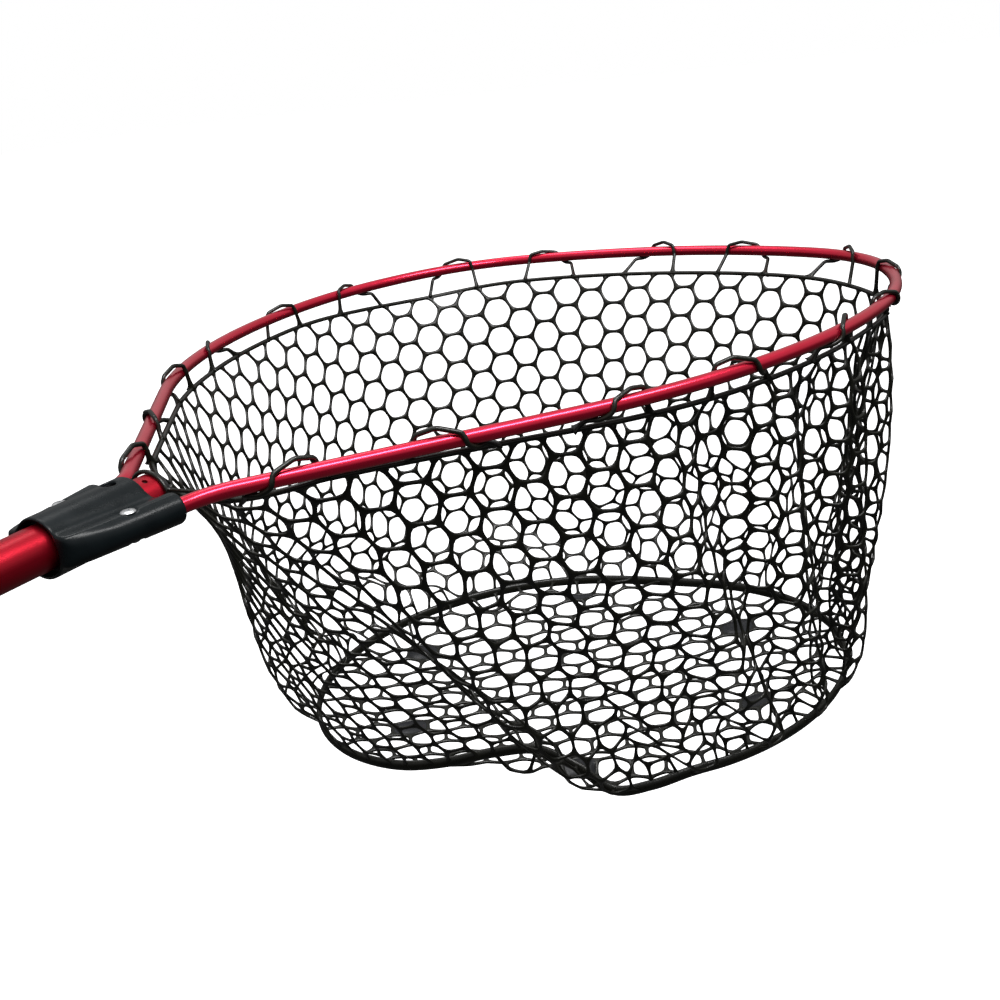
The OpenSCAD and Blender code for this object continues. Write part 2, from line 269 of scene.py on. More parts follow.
def sweep(line, section, closed=False, up=None, scale=None):
    """Points and faces of a section (side, up) carried along a line; scale is one pair per point."""
    side, top = frames_along(line, closed, up)
    scale = np.ones((len(line), 2)) if scale is None else scale
    verts = (line[:, None] + section[None, :, :1] * scale[:, None, :1] * side[:, None]
             + section[None, :, 1:] * scale[:, None, 1:] * top[:, None])
    sides = len(section)
    faces = grid_faces(len(line), sides, closed)
    if not closed:
        last = (len(line) - 1) * sides
        faces.append(tuple(range(sides)))
        faces.append(tuple(last + k for k in reversed(range(sides))))
    return verts.reshape(-1, 3), faces


def round_section(radius, sides):
    a = np.arange(sides) * 2 * math.pi / sides
    return np.column_stack([radius * np.cos(a), radius * np.sin(a)])


def merged(parts):
    """Several (points, faces) as one."""
    verts, faces, n = [], [], 0
    for v, f in parts:
        verts.append(v)
        faces += [tuple(n + i for i in face) for face in f]
        n += len(v)
    return np.vstack(verts), faces


def loop_vertices(mesh):
    """The vertex number of each face corner."""
    vertex = np.zeros(len(mesh.loops), np.int32)
    mesh.loops.foreach_get("vertex_index", vertex)
    return vertex


def add_sweep_uv(obj, line, sides, radius):
    """UV map of an open sweep in millimetres: along it and round it."""
    layer = obj.data.uv_layers.new(name="UVMap")
    vertex = loop_vertices(obj.data)
    along = run_lengths(line)[np.minimum(vertex // sides, len(line) - 1)]
    turned = (vertex % sides) * 2 * math.pi * radius / sides
    layer.data.foreach_set("uv", np.column_stack([along, turned]).astype(np.float32).ravel())


def add_round_uv(obj, radius):
    """UV map in millimetres of a tube on the X axis: along it and round it."""
    layer = obj.data.uv_layers.new(name="UVMap")
    vertex = loop_vertices(obj.data)
    place = np.array([v.co for v in obj.data.vertices])
    turn = np.arctan2(place[:, 2], place[:, 1])
    uv = np.column_stack([place[vertex, 0] / MM, turn[vertex] * radius])
    layer.data.foreach_set("uv", uv.astype(np.float32).ravel())


def lathe(profile, sides):
    """Points and faces of a closed (x, radius) profile turned about the X axis."""
    profile = np.asarray(profile, float)
    a = np.arange(sides) * 2 * math.pi / sides
    x = np.repeat(profile[:, :1], sides, 1)
    verts = np.stack([x, profile[:, 1:] * np.cos(a), profile[:, 1:] * np.sin(a)], 2).reshape(-1, 3)
    return verts, grid_faces(len(profile), sides, True)


def rounded(corners, radius, steps=5):
    """A closed outline with each corner rounded: corners are (x, y) or (x, y, radius of its own)."""
    out = []
    n = len(corners)
    for i, corner in enumerate(corners):
        p = np.array(corner[:2], float)
        r = corner[2] if len(corner) > 2 else radius
        before = unit(np.array(corners[i - 1][:2], float) - p)
        after = unit(np.array(corners[(i + 1) % n][:2], float) - p)
        for t in np.linspace(0, 1, steps):
            out.append(p + r * (before * (1 - t) ** 2 + after * t ** 2))
    return np.array(out)


def surface_net(field, low, high, step):
    """Points and quads on the surface where field(x, y, z) is zero, from a regular grid."""
    axes = [np.arange(low[i], high[i] + step, step) for i in range(3)]
    grid = np.stack(np.meshgrid(*axes, indexing="ij"), -1)
    value = field(grid[..., 0], grid[..., 1], grid[..., 2])
    cells = tuple(n - 1 for n in value.shape)
    total = np.zeros(cells + (3,))
    count = np.zeros(cells)
    crossings = []
    for axis in range(3):
        others = [a for a in range(3) if a != axis]
        first = [slice(None)] * 3
        second = [slice(None)] * 3
        first[axis], second[axis] = slice(0, -1), slice(1, None)
        a, b = value[tuple(first)], value[tuple(second)]
        crosses = (a < 0) != (b < 0)
        share = np.where(crosses, a / np.where(crosses, a - b, 1), 0)
        point = grid[tuple(first)].copy()
        point[..., axis] += share * step
        for p in range(2):
            for q in range(2):
                cut = [slice(None)] * 3
                cut[others[0]] = slice(p, p + cells[others[0]])
                cut[others[1]] = slice(q, q + cells[others[1]])
                mask = crosses[tuple(cut)]
                total += np.where(mask[..., None], point[tuple(cut)], 0)
                count += mask
        crossings.append((axis, others, crosses, a < 0))
    number = np.full(cells, -1)
    number[count > 0] = np.arange(int((count > 0).sum()))
    verts = total[count > 0] / count[count > 0][:, None]
    faces = []
    for axis, others, crosses, starts_inside in crossings:
        inner = [slice(None)] * 3
        for o in others:
            inner[o] = slice(1, -1)
        where = np.argwhere(crosses[tuple(inner)])
        flip = starts_inside[tuple(inner)][tuple(where.T)] != (axis == 1)
        corner = []
        for p, q in ((0, 0), (1, 0), (1, 1), (0, 1)):
            index = where.copy()
            index[:, others[0]] += p
            index[:, others[1]] += q
            corner.append(number[tuple(index.T)])
        quad = np.column_stack(corner)
        quad[~flip] = quad[~flip][:, ::-1]
        faces += quad.tolist()
    return settle(field, verts, step), faces


def settle(field, verts, step):
    """Moves points onto the surface where the field is zero."""
    h = step * 0.2
    for _ in range(2):
        value = field(*verts.T)
        slope = np.column_stack([
            (field(*(verts + h * e).T) - field(*(verts - h * e).T)) / (2 * h) for e in np.eye(3)])
        move = value[:, None] * slope / np.maximum((slope ** 2).sum(1), 0.2)[:, None]
        verts = verts - np.clip(move, -step / 2, step / 2)
    return verts


def smooth_union(a, b, reach):
    """Distance to a and b together, their joint filled in a fillet of about this reach."""
    h = np.clip(0.5 + 0.5 * (b - a) / reach, 0, 1)
    return b + (a - b) * h - reach * h * (1 - h)


def smooth_cut(a, tool, reach):
    """a with the tool taken away, its new edges softened."""
    return -smooth_union(-a, tool, reach)


def rounded_cylinder(radial, along, radius, low, high, edge):
    """Distance to a rod: radial and along are a point's own distances, edge rounds its ends."""
    a = radial - radius + edge
    b = np.abs(along - (low + high) / 2) - (high - low) / 2 + edge
    return np.minimum(np.maximum(a, b), 0) + np.hypot(np.maximum(a, 0), np.maximum(b, 0)) - edge


def boolean_cut(obj, cutters):
    """Takes closed (points, faces) away from an object's mesh."""
    for verts, faces in cutters:
        tool = link_mesh("cutter", verts, faces)
        cut = obj.modifiers.new("cut", "BOOLEAN")
        cut.operation = "DIFFERENCE"
        cut.solver = "EXACT"
        cut.object = tool
        bpy.context.view_layer.update()
        worked_out = obj.evaluated_get(bpy.context.evaluated_depsgraph_get())
        result = bpy.data.meshes.new_from_object(worked_out)
        obj.modifiers.clear()
        obj.data = result
        bpy.data.objects.remove(tool)


def upright_cylinder(x, y, low, high, radius, sides=40):
    """Points and faces of a cylinder along Z."""
    section = round_section(radius, sides)
    line = np.array([[x, y, low], [x, y, high]], float)
    return sweep(line, section, up=(1, 0, 0))


# ---- Materials ----
def new_material(name):
    material = bpy.data.materials.new(name)
    material.use_nodes = True
    tree = material.node_tree
    return material, tree, tree.nodes["Principled BSDF"]


def coordinates(tree, scale=(1, 1, 1), kind="Object"):
    source = tree.nodes.new("ShaderNodeTexCoord")
    mapping = tree.nodes.new("ShaderNodeMapping")
    mapping.inputs["Scale"].default_value = scale
    tree.links.new(source.outputs[kind], mapping.inputs["Vector"])
    return mapping.outputs["Vector"]


def noise(tree, vector, scale, detail=3.0, roughness=0.5):
    node = tree.nodes.new("ShaderNodeTexNoise")
    node.inputs["Scale"].default_value = scale
    node.inputs["Detail"].default_value = detail
    node.inputs["Roughness"].default_value = roughness
    tree.links.new(vector, node.inputs["Vector"])
    return node.outputs["Fac"]


def ramp(tree, factor, stops):
    """Colour or value by factor: stops are (place, grey or colour)."""
    node = tree.nodes.new("ShaderNodeValToRGB")
    elements = node.color_ramp.elements
    while len(elements) < len(stops):
        elements.new(0.5)
    for element, (place, value) in zip(elements, stops):
        element.position = place
        colour = value if isinstance(value, tuple) else (value,) * 3
        element.color = (*colour, 1)
    tree.links.new(factor, node.inputs["Fac"])
    return node.outputs["Color"]


def bump(tree, height, strength, distance):
    node = tree.nodes.new("ShaderNodeBump")
    node.inputs["Strength"].default_value = strength
    node.inputs["Distance"].default_value = distance
    tree.links.new(height, node.inputs["Height"])
    return node.outputs["Normal"]


def red_anodised(name, dark, light, roughness, coat):
    """Anodised tube: faint drawing lines along it, slightly uneven in tone and shine."""
    material, tree, surface = new_material(name)
    vector = coordinates(tree, kind="UV")
    lines = noise(tree, coordinates(tree, (0.01, 3.0, 1.0), "UV"), 1.0, 4.0, 0.6)
    patches = noise(tree, vector, 0.02, 3.0)
    colour = ramp(tree, patches, [(0.3, dark), (0.7, light)])
    shine = ramp(tree, lines, [(0.3, roughness - 0.035), (0.7, roughness + 0.035)])
    tree.links.new(colour, surface.inputs["Base Color"])
    tree.links.new(shine, surface.inputs["Roughness"])
    tree.links.new(bump(tree, lines, 0.02, 0.00005), surface.inputs["Normal"])
    surface.inputs["Metallic"].default_value = 0.85
    surface.inputs["Coat Weight"].default_value = coat
    surface.inputs["Coat Roughness"].default_value = 0.16
    return material


def satin_plastic(name, base, roughness, grain=0.25):
    """Moulded plastic with a fine grain, faint mottling and slightly uneven shine."""
    material, tree, surface = new_material(name)
    vector = coordinates(tree)
    fine = noise(tree, vector, 2600, 2.0)
    broad = noise(tree, vector, 60, 4.0)
    light = tuple(c * 1.35 for c in base)
    tree.links.new(ramp(tree, broad, [(0.35, base), (0.7, light)]), surface.inputs["Base Color"])
    tree.links.new(ramp(tree, broad, [(0.3, roughness - 0.05), (0.7, roughness + 0.07)]),
                   surface.inputs["Roughness"])
    tree.links.new(bump(tree, fine, grain, 0.0002), surface.inputs["Normal"])
    surface.inputs["Specular IOR Level"].default_value = 0.20
    return material


def mesh_rubber(name, dark, light):
    """Soft black rubber: slightly uneven in tone and shine, with a fine skin."""
    material, tree, surface = new_material(name)
    vector = coordinates(tree)
    broad = noise(tree, vector, 45, 3.0)
    fine = noise(tree, vector, 900, 3.0)
    tree.links.new(ramp(tree, broad, [(0.3, dark), (0.7, light)]), surface.inputs["Base Color"])
    tree.links.new(ramp(tree, fine, [(0.3, 0.24), (0.7, 0.40)]), surface.inputs["Roughness"])
    tree.links.new(bump(tree, fine, 0.25, 0.0002), surface.inputs["Normal"])
    surface.inputs["Specular IOR Level"].default_value = 0.4
    return material


def foam_material():
    """Dark foam with fine open cells."""
    material, tree, surface = new_material("foam")
    vector = coordinates(tree)
    cells = tree.nodes.new("ShaderNodeTexVoronoi")
    cells.inputs["Scale"].default_value = 900
    tree.links.new(vector, cells.inputs["Vector"])
    broad = noise(tree, vector, 90, 3.0)
    tree.links.new(ramp(tree, broad, [(0.3, (0.014, 0.014, 0.015)), (0.7, (0.026, 0.026, 0.028))]),
                   surface.inputs["Base Color"])
    surface.inputs["Roughness"].default_value = 0.85
    surface.inputs["Sheen Weight"].default_value = 0.15
    tree.links.new(bump(tree, cells.outputs["Distance"], 0.6, 0.0004), surface.inputs["Normal"])
    return material


def bare_metal(name, base, roughness):
    """Uncoated metal with fine scuffs."""
    material, tree, surface = new_material(name)
    vector = coordinates(tree)
    scuffs = noise(tree, vector, 700, 4.0, 0.7)
    dark = tuple(c * 0.85 for c in base)
    tree.links.new(ramp(tree, scuffs, [(0.35, dark), (0.65, base)]), surface.inputs["Base Color"])
    tree.links.new(ramp(tree, scuffs, [(0.3, roughness - 0.06), (0.7, roughness + 0.10)]),
                   surface.inputs["Roughness"])
    tree.links.new(bump(tree, scuffs, 0.15, 0.0001), surface.inputs["Normal"])
    surface.inputs["Metallic"].default_value = 1.0
    return material


HOOP_RED = red_anodised("red_hoop", (0.74, 0.008, 0.040), (0.86, 0.014, 0.062), 0.235, 0.45)
# The handle's red is a rougher copy of the hoop's red. Its base colour is also set much darker as painted
# shade, standing in for the weaker key light that falls on the handle.
HANDLE_RED_PAINTED_SHADE = red_anodised("red_handle_painted_shade", (0.35, 0.004, 0.015), (0.41, 0.006, 0.021), 0.40, 0.10)
YOKE_BLACK = satin_plastic("yoke_plastic", (0.004, 0.006, 0.007), 0.27, 0.15)
TRIM_BLACK = satin_plastic("trim_plastic", (0.010, 0.010, 0.011), 0.45)
LINER_BLACK = satin_plastic("liner_plastic", (0.016, 0.016, 0.017), 0.55)
RUBBER = mesh_rubber("mesh_rubber", (0.0035, 0.004, 0.0025), (0.009, 0.009, 0.006))
TAB_RUBBER = mesh_rubber("tab_rubber", (0.007, 0.008, 0.010), (0.014, 0.015, 0.018))
FOAM = foam_material()
ALU = bare_metal("rivet_alu", (0.86, 0.87, 0.88), 0.28)
STEEL = bare_metal("steel", (0.52, 0.53, 0.55), 0.32)


# ---- Hoop outline ----
def right_of(heading):
    """The direction to the right of a heading."""
    return np.array([sind(heading), -cosd(heading)])


def chain(inset):
    """Half outline as (signed radius, heading at the start, at the end, length if straight)."""
    tip_r = (HALF_W + CORNER_R * (cosd(CORNER_END) - cosd(SIDE_END))
             - SIDE_R * (1 - cosd(SIDE_END))) / cosd(CORNER_END)
    shoulder_y = HALF_W - SHOULDER_R * (1 - cosd(SPREAD))
    side_l = (shoulder_y - LEG_Y - BEND_R * (cosd(SOCKET_TURN) - cosd(SPREAD))) / sind(SPREAD)
    return [
        (0, SOCKET_TURN, SOCKET_TURN, LEG_IN),
        (BEND_R + inset, SOCKET_TURN, SPREAD, 0),
        (0, SPREAD, SPREAD, NECK_RUN),
        (0, SPREAD, SPREAD, side_l - NECK_RUN),
        (inset - SHOULDER_R, SPREAD, 0, 0),
        (inset - SIDE_R, 0, SIDE_END, 0),
        (inset - CORNER_R, SIDE_END, CORNER_END, 0),
        (inset - tip_r, CORNER_END, -90, 0),
    ]


def half_outline(inset, first=0, step=2.0):
    """Points of one half of the outline, from the start of segment number first to the tip."""
    socket = np.array([cosd(SOCKET_TURN), sind(SOCKET_TURN)])
    p = np.array([HEAD_X, LEG_Y]) - LEG_IN * socket + inset * right_of(SOCKET_TURN)
    points = []
    for i, (radius, start, end, length) in enumerate(chain(inset)):
        if i == first:
            points = [p]
        run = length or abs(math.radians(end - start) * radius)
        steps = max(2, int(round(run / step)))
        for k in range(1, steps + 1):
            if radius == 0:
                q = p + length * k / steps * np.array([cosd(start), sind(start)])
            else:
                q = p - radius * right_of(start) + radius * right_of(start + (end - start) * k / steps)
            points.append(q)
        p = q
    points[-1] = np.array([points[-1][0], 0.0])
    return np.array(points)


def both_halves(half):
    """A closed line from a half that starts and ends on the axis."""
    back = half[-2:0:-1].copy()
    back[:, 1] *= -1
    return np.vstack([half, back])


def hoop_line():
    """The tube's centre line, from one leg's end to the other's."""
    half = half_outline(0)
    back = half[-2::-1] * np.array([1, -1])
    line = np.vstack([half, back])
    return np.column_stack([line, np.zeros(len(line))])


def rim_line():
    """The rim cord's closed line: it hangs lower round the tip's corners and is drawn in at the tip."""
    half = half_outline(RIM_INSET, first=3)
    along = unit(np.gradient(half, axis=0))
    inward = np.column_stack([along[:, 1], -along[:, 0]])
    from_head = half[:, 0] - HEAD_X
    at_neck = 1 - ease(from_head, *NECK_SPAN)
    at_corner = ease(from_head, *CORNER_SPAN)
    at_tip = ease(from_head, *TIP_SPAN)
    half = half + inward * (TIP_INSET * at_tip)[:, None]
    half[-1, 1] = 0
    drop = RIM_DROP + CORNER_SAG * at_corner * (1 - TIP_EASE * at_tip) - NECK_LIFT * at_neck
    t = np.linspace(0, 1, 25)[:-1]
    x0, y0 = half[0]
    neck = np.column_stack([x0 - NECK_BOW * (1 - t * t), y0 * t, -drop[0] - NECK_DIP * (1 - t * t)])
    return both_halves(np.vstack([neck, np.column_stack([half, -drop])]))


def floor_line():
    """The floor's flat outline: two half circles moved apart sideways."""
    a = np.radians(np.linspace(180, 0, 91))
    arc = np.column_stack([FLOOR_X + FLOOR_R * np.cos(a), FLOOR_SHIFT + FLOOR_R * np.sin(a)])
    ends = np.array([[FLOOR_X - FLOOR_R, 0.0], [FLOOR_X + FLOOR_R, 0.0]])
    return both_halves(np.vstack([ends[:1], arc, ends[1:]]))


# ---- Bag: the sheet of hexagons ----
def wall_graph():
    """The wall's nodes as (distance round, distance down), its cells, and its top and low nodes."""
    columns = 2 * PERIODS
    number, place = {}, []
    for line in range(2 * columns):
        column = line // 2
        for k in range(ROWS + 1 - column % 2):
            number[line, k] = len(place)
            round_bag = 1.5 * CELL * column + (CELL / 2 if line % 2 else -CELL / 2)
            place.append((round_bag, (k + 0.5 * (column % 2)) * ROW))

    def at(line, k):
        return number[line % (2 * columns), k]

    cells = []
    for column in range(columns):
        left, right = 2 * column, 2 * column + 1
        if column % 2 == 0:
            for k in range(ROWS):
                cells.append([at(left, k), at(left - 1, k), at(left, k + 1),
                              at(right, k + 1), at(right + 1, k), at(right, k)])
        else:
            for k in range(ROWS - 1):
                cells.append([at(left, k), at(left - 1, k + 1), at(left, k + 1),
                              at(right, k + 1), at(right + 1, k + 1), at(right, k)])
            cells.append([at(left - 1, 0), at(left, 0), at(right, 0), at(right + 1, 0)])
            cells.append([at(left, ROWS - 1), at(left - 1, ROWS),
                          at(right + 1, ROWS), at(right, ROWS - 1)])
    even = [line for line in range(2 * columns) if line // 2 % 2 == 0]
    return np.array(place), cells, [at(line, 0) for line in even], [at(line, ROWS) for line in even]


def seam_height(x, y, pinch_from):
    """Height of the seam: the ring is tilted, lifted where it is pinched in and lower on either side."""
    plane = SEAM_TILT[0] * (x - FLOOR_X) + SEAM_TILT[1] * y
    height = SEAM_RAISE - BAG_DEPTH + plane + PINCH_LIFT * np.exp(-(pinch_from / PINCH_WIDTH) ** 2)
    for turn, width, drop in LOBES:
        height = height - drop * np.exp(-((pinch_from - turn) / width) ** 2)
    return height


def seam_ring(outline):
    """The floor seam as it hangs: the flat outline drawn in and up at the pinch."""
    x, y = outline.T
    turn = np.degrees(np.arctan2(y, x - FLOOR_X))
    pinch_from = (turn - PINCH_TURN + 180) % 360 - 180
    inward = PINCH_IN * np.exp(-(pinch_from / PINCH_WIDTH) ** 2)
    away = unit(np.column_stack([x - FLOOR_X, y]))
    flat = outline - away * inward[:, None]
    flat[:, 0] += SEAM_SHEAR * flat[:, 1]
    return np.column_stack([flat, seam_height(*flat.T, pinch_from)])


def in_floor(x, y, margin):
    """Whether a point lies on the flat floor, at least the margin inside its outline."""
    return math.hypot(x - FLOOR_X, max(abs(y) - FLOOR_SHIFT, 0)) < FLOOR_R - margin


FLOOR_MARGIN = 5.0               # no floor node lies closer to the seam
MERGE = 0.25                     # corners in the same square of this size are one node


def floor_graph(seam_xy):
    """The floor's new nodes and its cells, hexagons cut to the seam.

    In a cell, numbers below len(seam_xy) are seam nodes and the rest are new nodes.
    """
    n = len(seam_xy)
    number, place, cells = {}, [], []
    reach = int((FLOOR_R + FLOOR_SHIFT) / CELL) + 3

    def node(p):
        key = (round(p[0] / MERGE), round(p[1] / MERGE))
        if key not in number:
            number[key] = n + len(place)
            place.append(p)
        return number[key]

    def crossing(a, b):
        """Seam node nearest to where the edge from a (inside) to b leaves the floor."""
        low, high = 0.0, 1.0
        for _ in range(20):
            middle = (low + high) / 2
            if in_floor(a[0] + (b[0] - a[0]) * middle, a[1] + (b[1] - a[1]) * middle, 0):
                low = middle
            else:
                high = middle
        p = np.array(a) + (np.array(b) - np.array(a)) * low
        return int(((seam_xy - p) ** 2).sum(1).argmin())

    for i in range(-reach, reach + 1):
        for j in range(-reach, reach + 1):
            cx, cy = FLOOR_X + (j + 0.5 * (i % 2)) * ROW, 1.5 * CELL * i
            corner = [(cx + CELL * sind(60 * k), cy + CELL * cosd(60 * k)) for k in range(6)][::-1]
            inside = [in_floor(*p, FLOOR_MARGIN) for p in corner]
            if all(inside):
                cells.append([node(p) for p in corner])
                continue
            for k in range(6):
                if inside[k] and not inside[k - 1]:
                    run = [k]
                    while inside[(run[-1] + 1) % 6]:
                        run.append((run[-1] + 1) % 6)
                    entry = crossing(corner[k], corner[k - 1])
                    leave = crossing(corner[run[-1]], corner[(run[-1] + 1) % 6])
                    gap = (entry - leave) % n
                    step = 1 if gap <= n / 2 else -1
                    gap = min(gap, n - gap)
                    cells.append([node(corner[m]) for m in run]
                                 + [(leave + step * m) % n for m in range(gap + 1)])
    return np.array(place), cells


def without_repeats(cells):
    """The cells without doubled corners, less those that have shrunk to a line."""
    kept = [[v for i, v in enumerate(cell) if v != cell[i - 1]] for cell in cells]
    return [cell for cell in kept if len(cell) > 2]


def gathered(share):
    """Share of the way round at which a column hangs: the columns crowd at the tip's near corner."""
    extra, place, width = CROWD
    way = np.linspace(0, 1, 401)
    density = 1 + extra * np.exp(-((way - place) / width) ** 2)
    passed = np.r_[0, np.cumsum(density[1:] + density[:-1])]
    turns = np.floor(share)
    return turns + np.interp(share - turns, passed / passed[-1], way)


def bag_sheet():
    """The undraped bag: points, wall cells, floor cells, rim nodes, seam nodes, (round, down) places."""
    place, wall_cells, rim, low = wall_graph()
    share = gathered(place[:, 0] / SHEET_L)
    down = place[:, 1:] / place[:, 1].max()
    top = at_share(rim_line(), share)
    outline = floor_line()
    ring = seam_ring(outline)
    wall = top + (at_share(ring, share) - top) * down
    seam_share = gathered(np.arange(SEAM_NODES) / 3 / PERIODS + place[low[0], 0] / SHEET_L)
    seam_xy = at_share(outline, seam_share)
    seam = []
    for period in range(PERIODS):
        seam += [low[2 * period], low[2 * period + 1], len(wall) + period]
    seam_place = at_share(ring, seam_share)
    floor_place, floor_cells = floor_graph(seam_xy)
    floor = np.column_stack([floor_place, np.full(len(floor_place), -BAG_DEPTH)])
    floor[:, 0] += SEAM_SHEAR * floor[:, 1]
    base = len(wall) + PERIODS
    floor_cells = [[seam[v] if v < SEAM_NODES else base + v - SEAM_NODES for v in cell]
                   for cell in floor_cells]
    points = np.vstack([wall, seam_place[2::3], floor])
    points[seam] = seam_place
    return points, wall_cells, without_repeats(floor_cells), rim, seam, place


def ordered(a, b):
    return (min(a, b), max(a, b))


def edges_of(cells):
    """Every edge of the cells once, as an ordered pair of nodes."""
    pairs = {ordered(v, cell[i - 1]) for cell in cells for i, v in enumerate(cell)}
    return np.array(sorted(pairs))


def second_neighbours(edges, count):
    """Pairs of nodes that share a neighbour."""
    near = [[] for _ in range(count)]
    for a, b in edges.tolist():
        near[a].append(b)
        near[b].append(a)
    pairs = {ordered(a, b) for row in near for i, a in enumerate(row) for b in row[i + 1:]}
    return np.array(sorted(pairs))


def colour_groups(pairs, count):
    """Constraint numbers in groups in which no node appears twice."""
    used = [0] * count
    groups = []
    for number, (a, b) in enumerate(pairs.tolist()):
        busy = used[a] | used[b]
        colour = 0
        while busy >> colour & 1:
            colour += 1
        used[a] |= 1 << colour
        used[b] |= 1 << colour
        if colour == len(groups):
            groups.append([])
        groups[colour].append(number)
    return [np.array(group) for group in groups]


# ---- Bag: hanging it ----
PULL = 300.0                     # weight of the sheet in the solver's own units
PULL_TILT = (-0.3, 0.0)          # the bag is swung this much towards the tip and sideways
# Stiffness of strands, second neighbours, diagonals and seam chords, when pulled and when pushed
PULLED = (1.0, 0.06, 0.03, 0.2)
PUSHED = (0.5, 0.10, 0.05, 0.2)
# Where the wall's strands are shorter: share of the way round, width of the stretch, how much shorter
TIGHT = ((0.68, 0.13, 0.15), (0.06, 0.09, 0.13))
NUDGE = 1.5                      # nodes start this far off, so that the wall can buckle
SWINGS = 260                     # time steps
ROUNDS = 10                      # passes over the constraints in each
TIME_STEP = 0.02
DAMPING = 0.93
CHORD = 4                        # seam chords join nodes this many places apart


def tightness(count, place):
    """Each node's strand length as a share of a hexagon's side."""
    tight = np.full(count, FLOOR_TIGHT)
    share = gathered(place[:, 0] / SHEET_L)
    tight[:len(place) + PERIODS] = 1
    for middle, width, amount in TIGHT:
        away = (share - middle + 0.5) % 1 - 0.5
        tight[:len(place)] -= amount * np.exp(-(away / width) ** 2)
    return tight


def constraints(points, cells, seam, place):
    """Pairs of nodes with their rest lengths and their stiffness when pulled and when pushed."""
    edges = edges_of(cells)
    tight = tightness(len(points), place)
    on_seam = np.zeros(len(points), bool)
    on_seam[seam] = True
    link = SEAM_LENGTH / SEAM_NODES
    start = np.linalg.norm(points[edges[:, 0]] - points[edges[:, 1]], axis=1)
    both = on_seam[edges].all(1)
    cut = on_seam[edges].any(1) & ~both & (edges.max(1) >= len(place) + PERIODS)
    rest = CELL * tight[edges].mean(1)
    rest[both] = link * np.maximum(1, np.round(start[both] / link))
    rest[cut] = start[cut]
    wide = second_neighbours(edges, len(points))
    wide = wide[~on_seam[wide].all(1)]
    across = np.array([pair for cell in cells if len(cell) == 6 for pair in zip(cell[:3], cell[3:])])
    chords = np.array([(seam[i], seam[(i + CHORD) % len(seam)]) for i in range(len(seam))])
    chord_rest = np.linalg.norm(points[chords[:, 0]] - points[chords[:, 1]], axis=1)
    pairs = np.vstack([edges, wide, across, chords])
    rests = np.r_[rest, ROW * tight[wide].mean(1), 2 * CELL * tight[across].mean(1), chord_rest]
    sizes = (len(edges), len(wide), len(across), len(chords))
    return pairs, rests, np.repeat(PULLED, sizes), np.repeat(PUSHED, sizes)


def hang(points, cells, rim, seam, place):
    """The bag's points after it has been let go and has come to rest, with the rim held."""
    rng = np.random.default_rng(SEED)
    pairs, rests, pulled, pushed = constraints(points, cells, seam, place)
    free = np.ones(len(points))
    free[rim] = 0
    free[seam] = 0
    groups = []
    for group in colour_groups(pairs, len(points)):
        a, b = pairs[group].T
        share = free[a] + free[b]
        keep = share > 0
        a, b, share, group = a[keep], b[keep], share[keep], group[keep]
        groups.append((a, b, rests[group], pulled[group], pushed[group],
                       (free[a] / share)[:, None], (free[b] / share)[:, None]))
    place_now = points + rng.normal(size=points.shape) * NUDGE * free[:, None]
    speed = np.zeros_like(points)
    weight = PULL * np.array([*PULL_TILT, -1.0])
    for _ in range(SWINGS):
        speed = (speed + weight * TIME_STEP * free[:, None]) * DAMPING
        moved = place_now + speed * TIME_STEP
        for _ in range(ROUNDS):
            for a, b, rest, pull, push, part_a, part_b in groups:
                apart = moved[b] - moved[a]
                length = np.sqrt((apart * apart).sum(1)) + 1e-9
                stiff = np.where(length > rest, pull, push)
                shift = (stiff * (length - rest) / length)[:, None] * apart
                moved[a] += shift * part_a
                moved[b] -= shift * part_b
        speed = (moved - place_now) / TIME_STEP
        place_now = moved
    return place_now


def smooth_ring(points, ring, rounds):
    """Evens out a closed ring of nodes."""
    for _ in range(rounds):
        line = points[ring]
        points[ring] = line / 2 + (np.roll(line, 1, 0) + np.roll(line, -1, 0)) / 4


# ---- Bag: strands ----
NODE_INSET = 2.9                 # from a node's centre to the rounded corner of an opening
STRAND_INSET = 2.3               # half width of the control strand; smoothing brings it to about 1.6
WALL_RISE = 1.9                  # half its thickness
FLOOR_RISE = 2.5                 # the floor's strands are rounder
WAIST = 0.85                     # a strand's thickness midway, as a share of that at its nodes
MOST_INSET = 0.45                # an inset never takes more than this share of the way to the middle
SEAM_SMOOTHING = 3


def cell_normal(p):
    """Unit normal of a ring of points."""
    centre = p.mean(0)
    return unit(np.cross(p - centre, np.roll(p, -1, 0) - centre).sum(0))


def node_normals(points, cells):
    """Mean normal of the cells round each node."""
    normal = np.zeros_like(points)
    for cell in cells:
        normal[cell] += cell_normal(points[cell])
    return unit(normal)


def drawn_in(p, centre, inset):
    """Points moved towards the middle of their opening."""
    to_centre = centre - p
    far = np.linalg.norm(to_centre, axis=1, keepdims=True)
    return p + to_centre / far * np.minimum(inset, far * MOST_INSET)


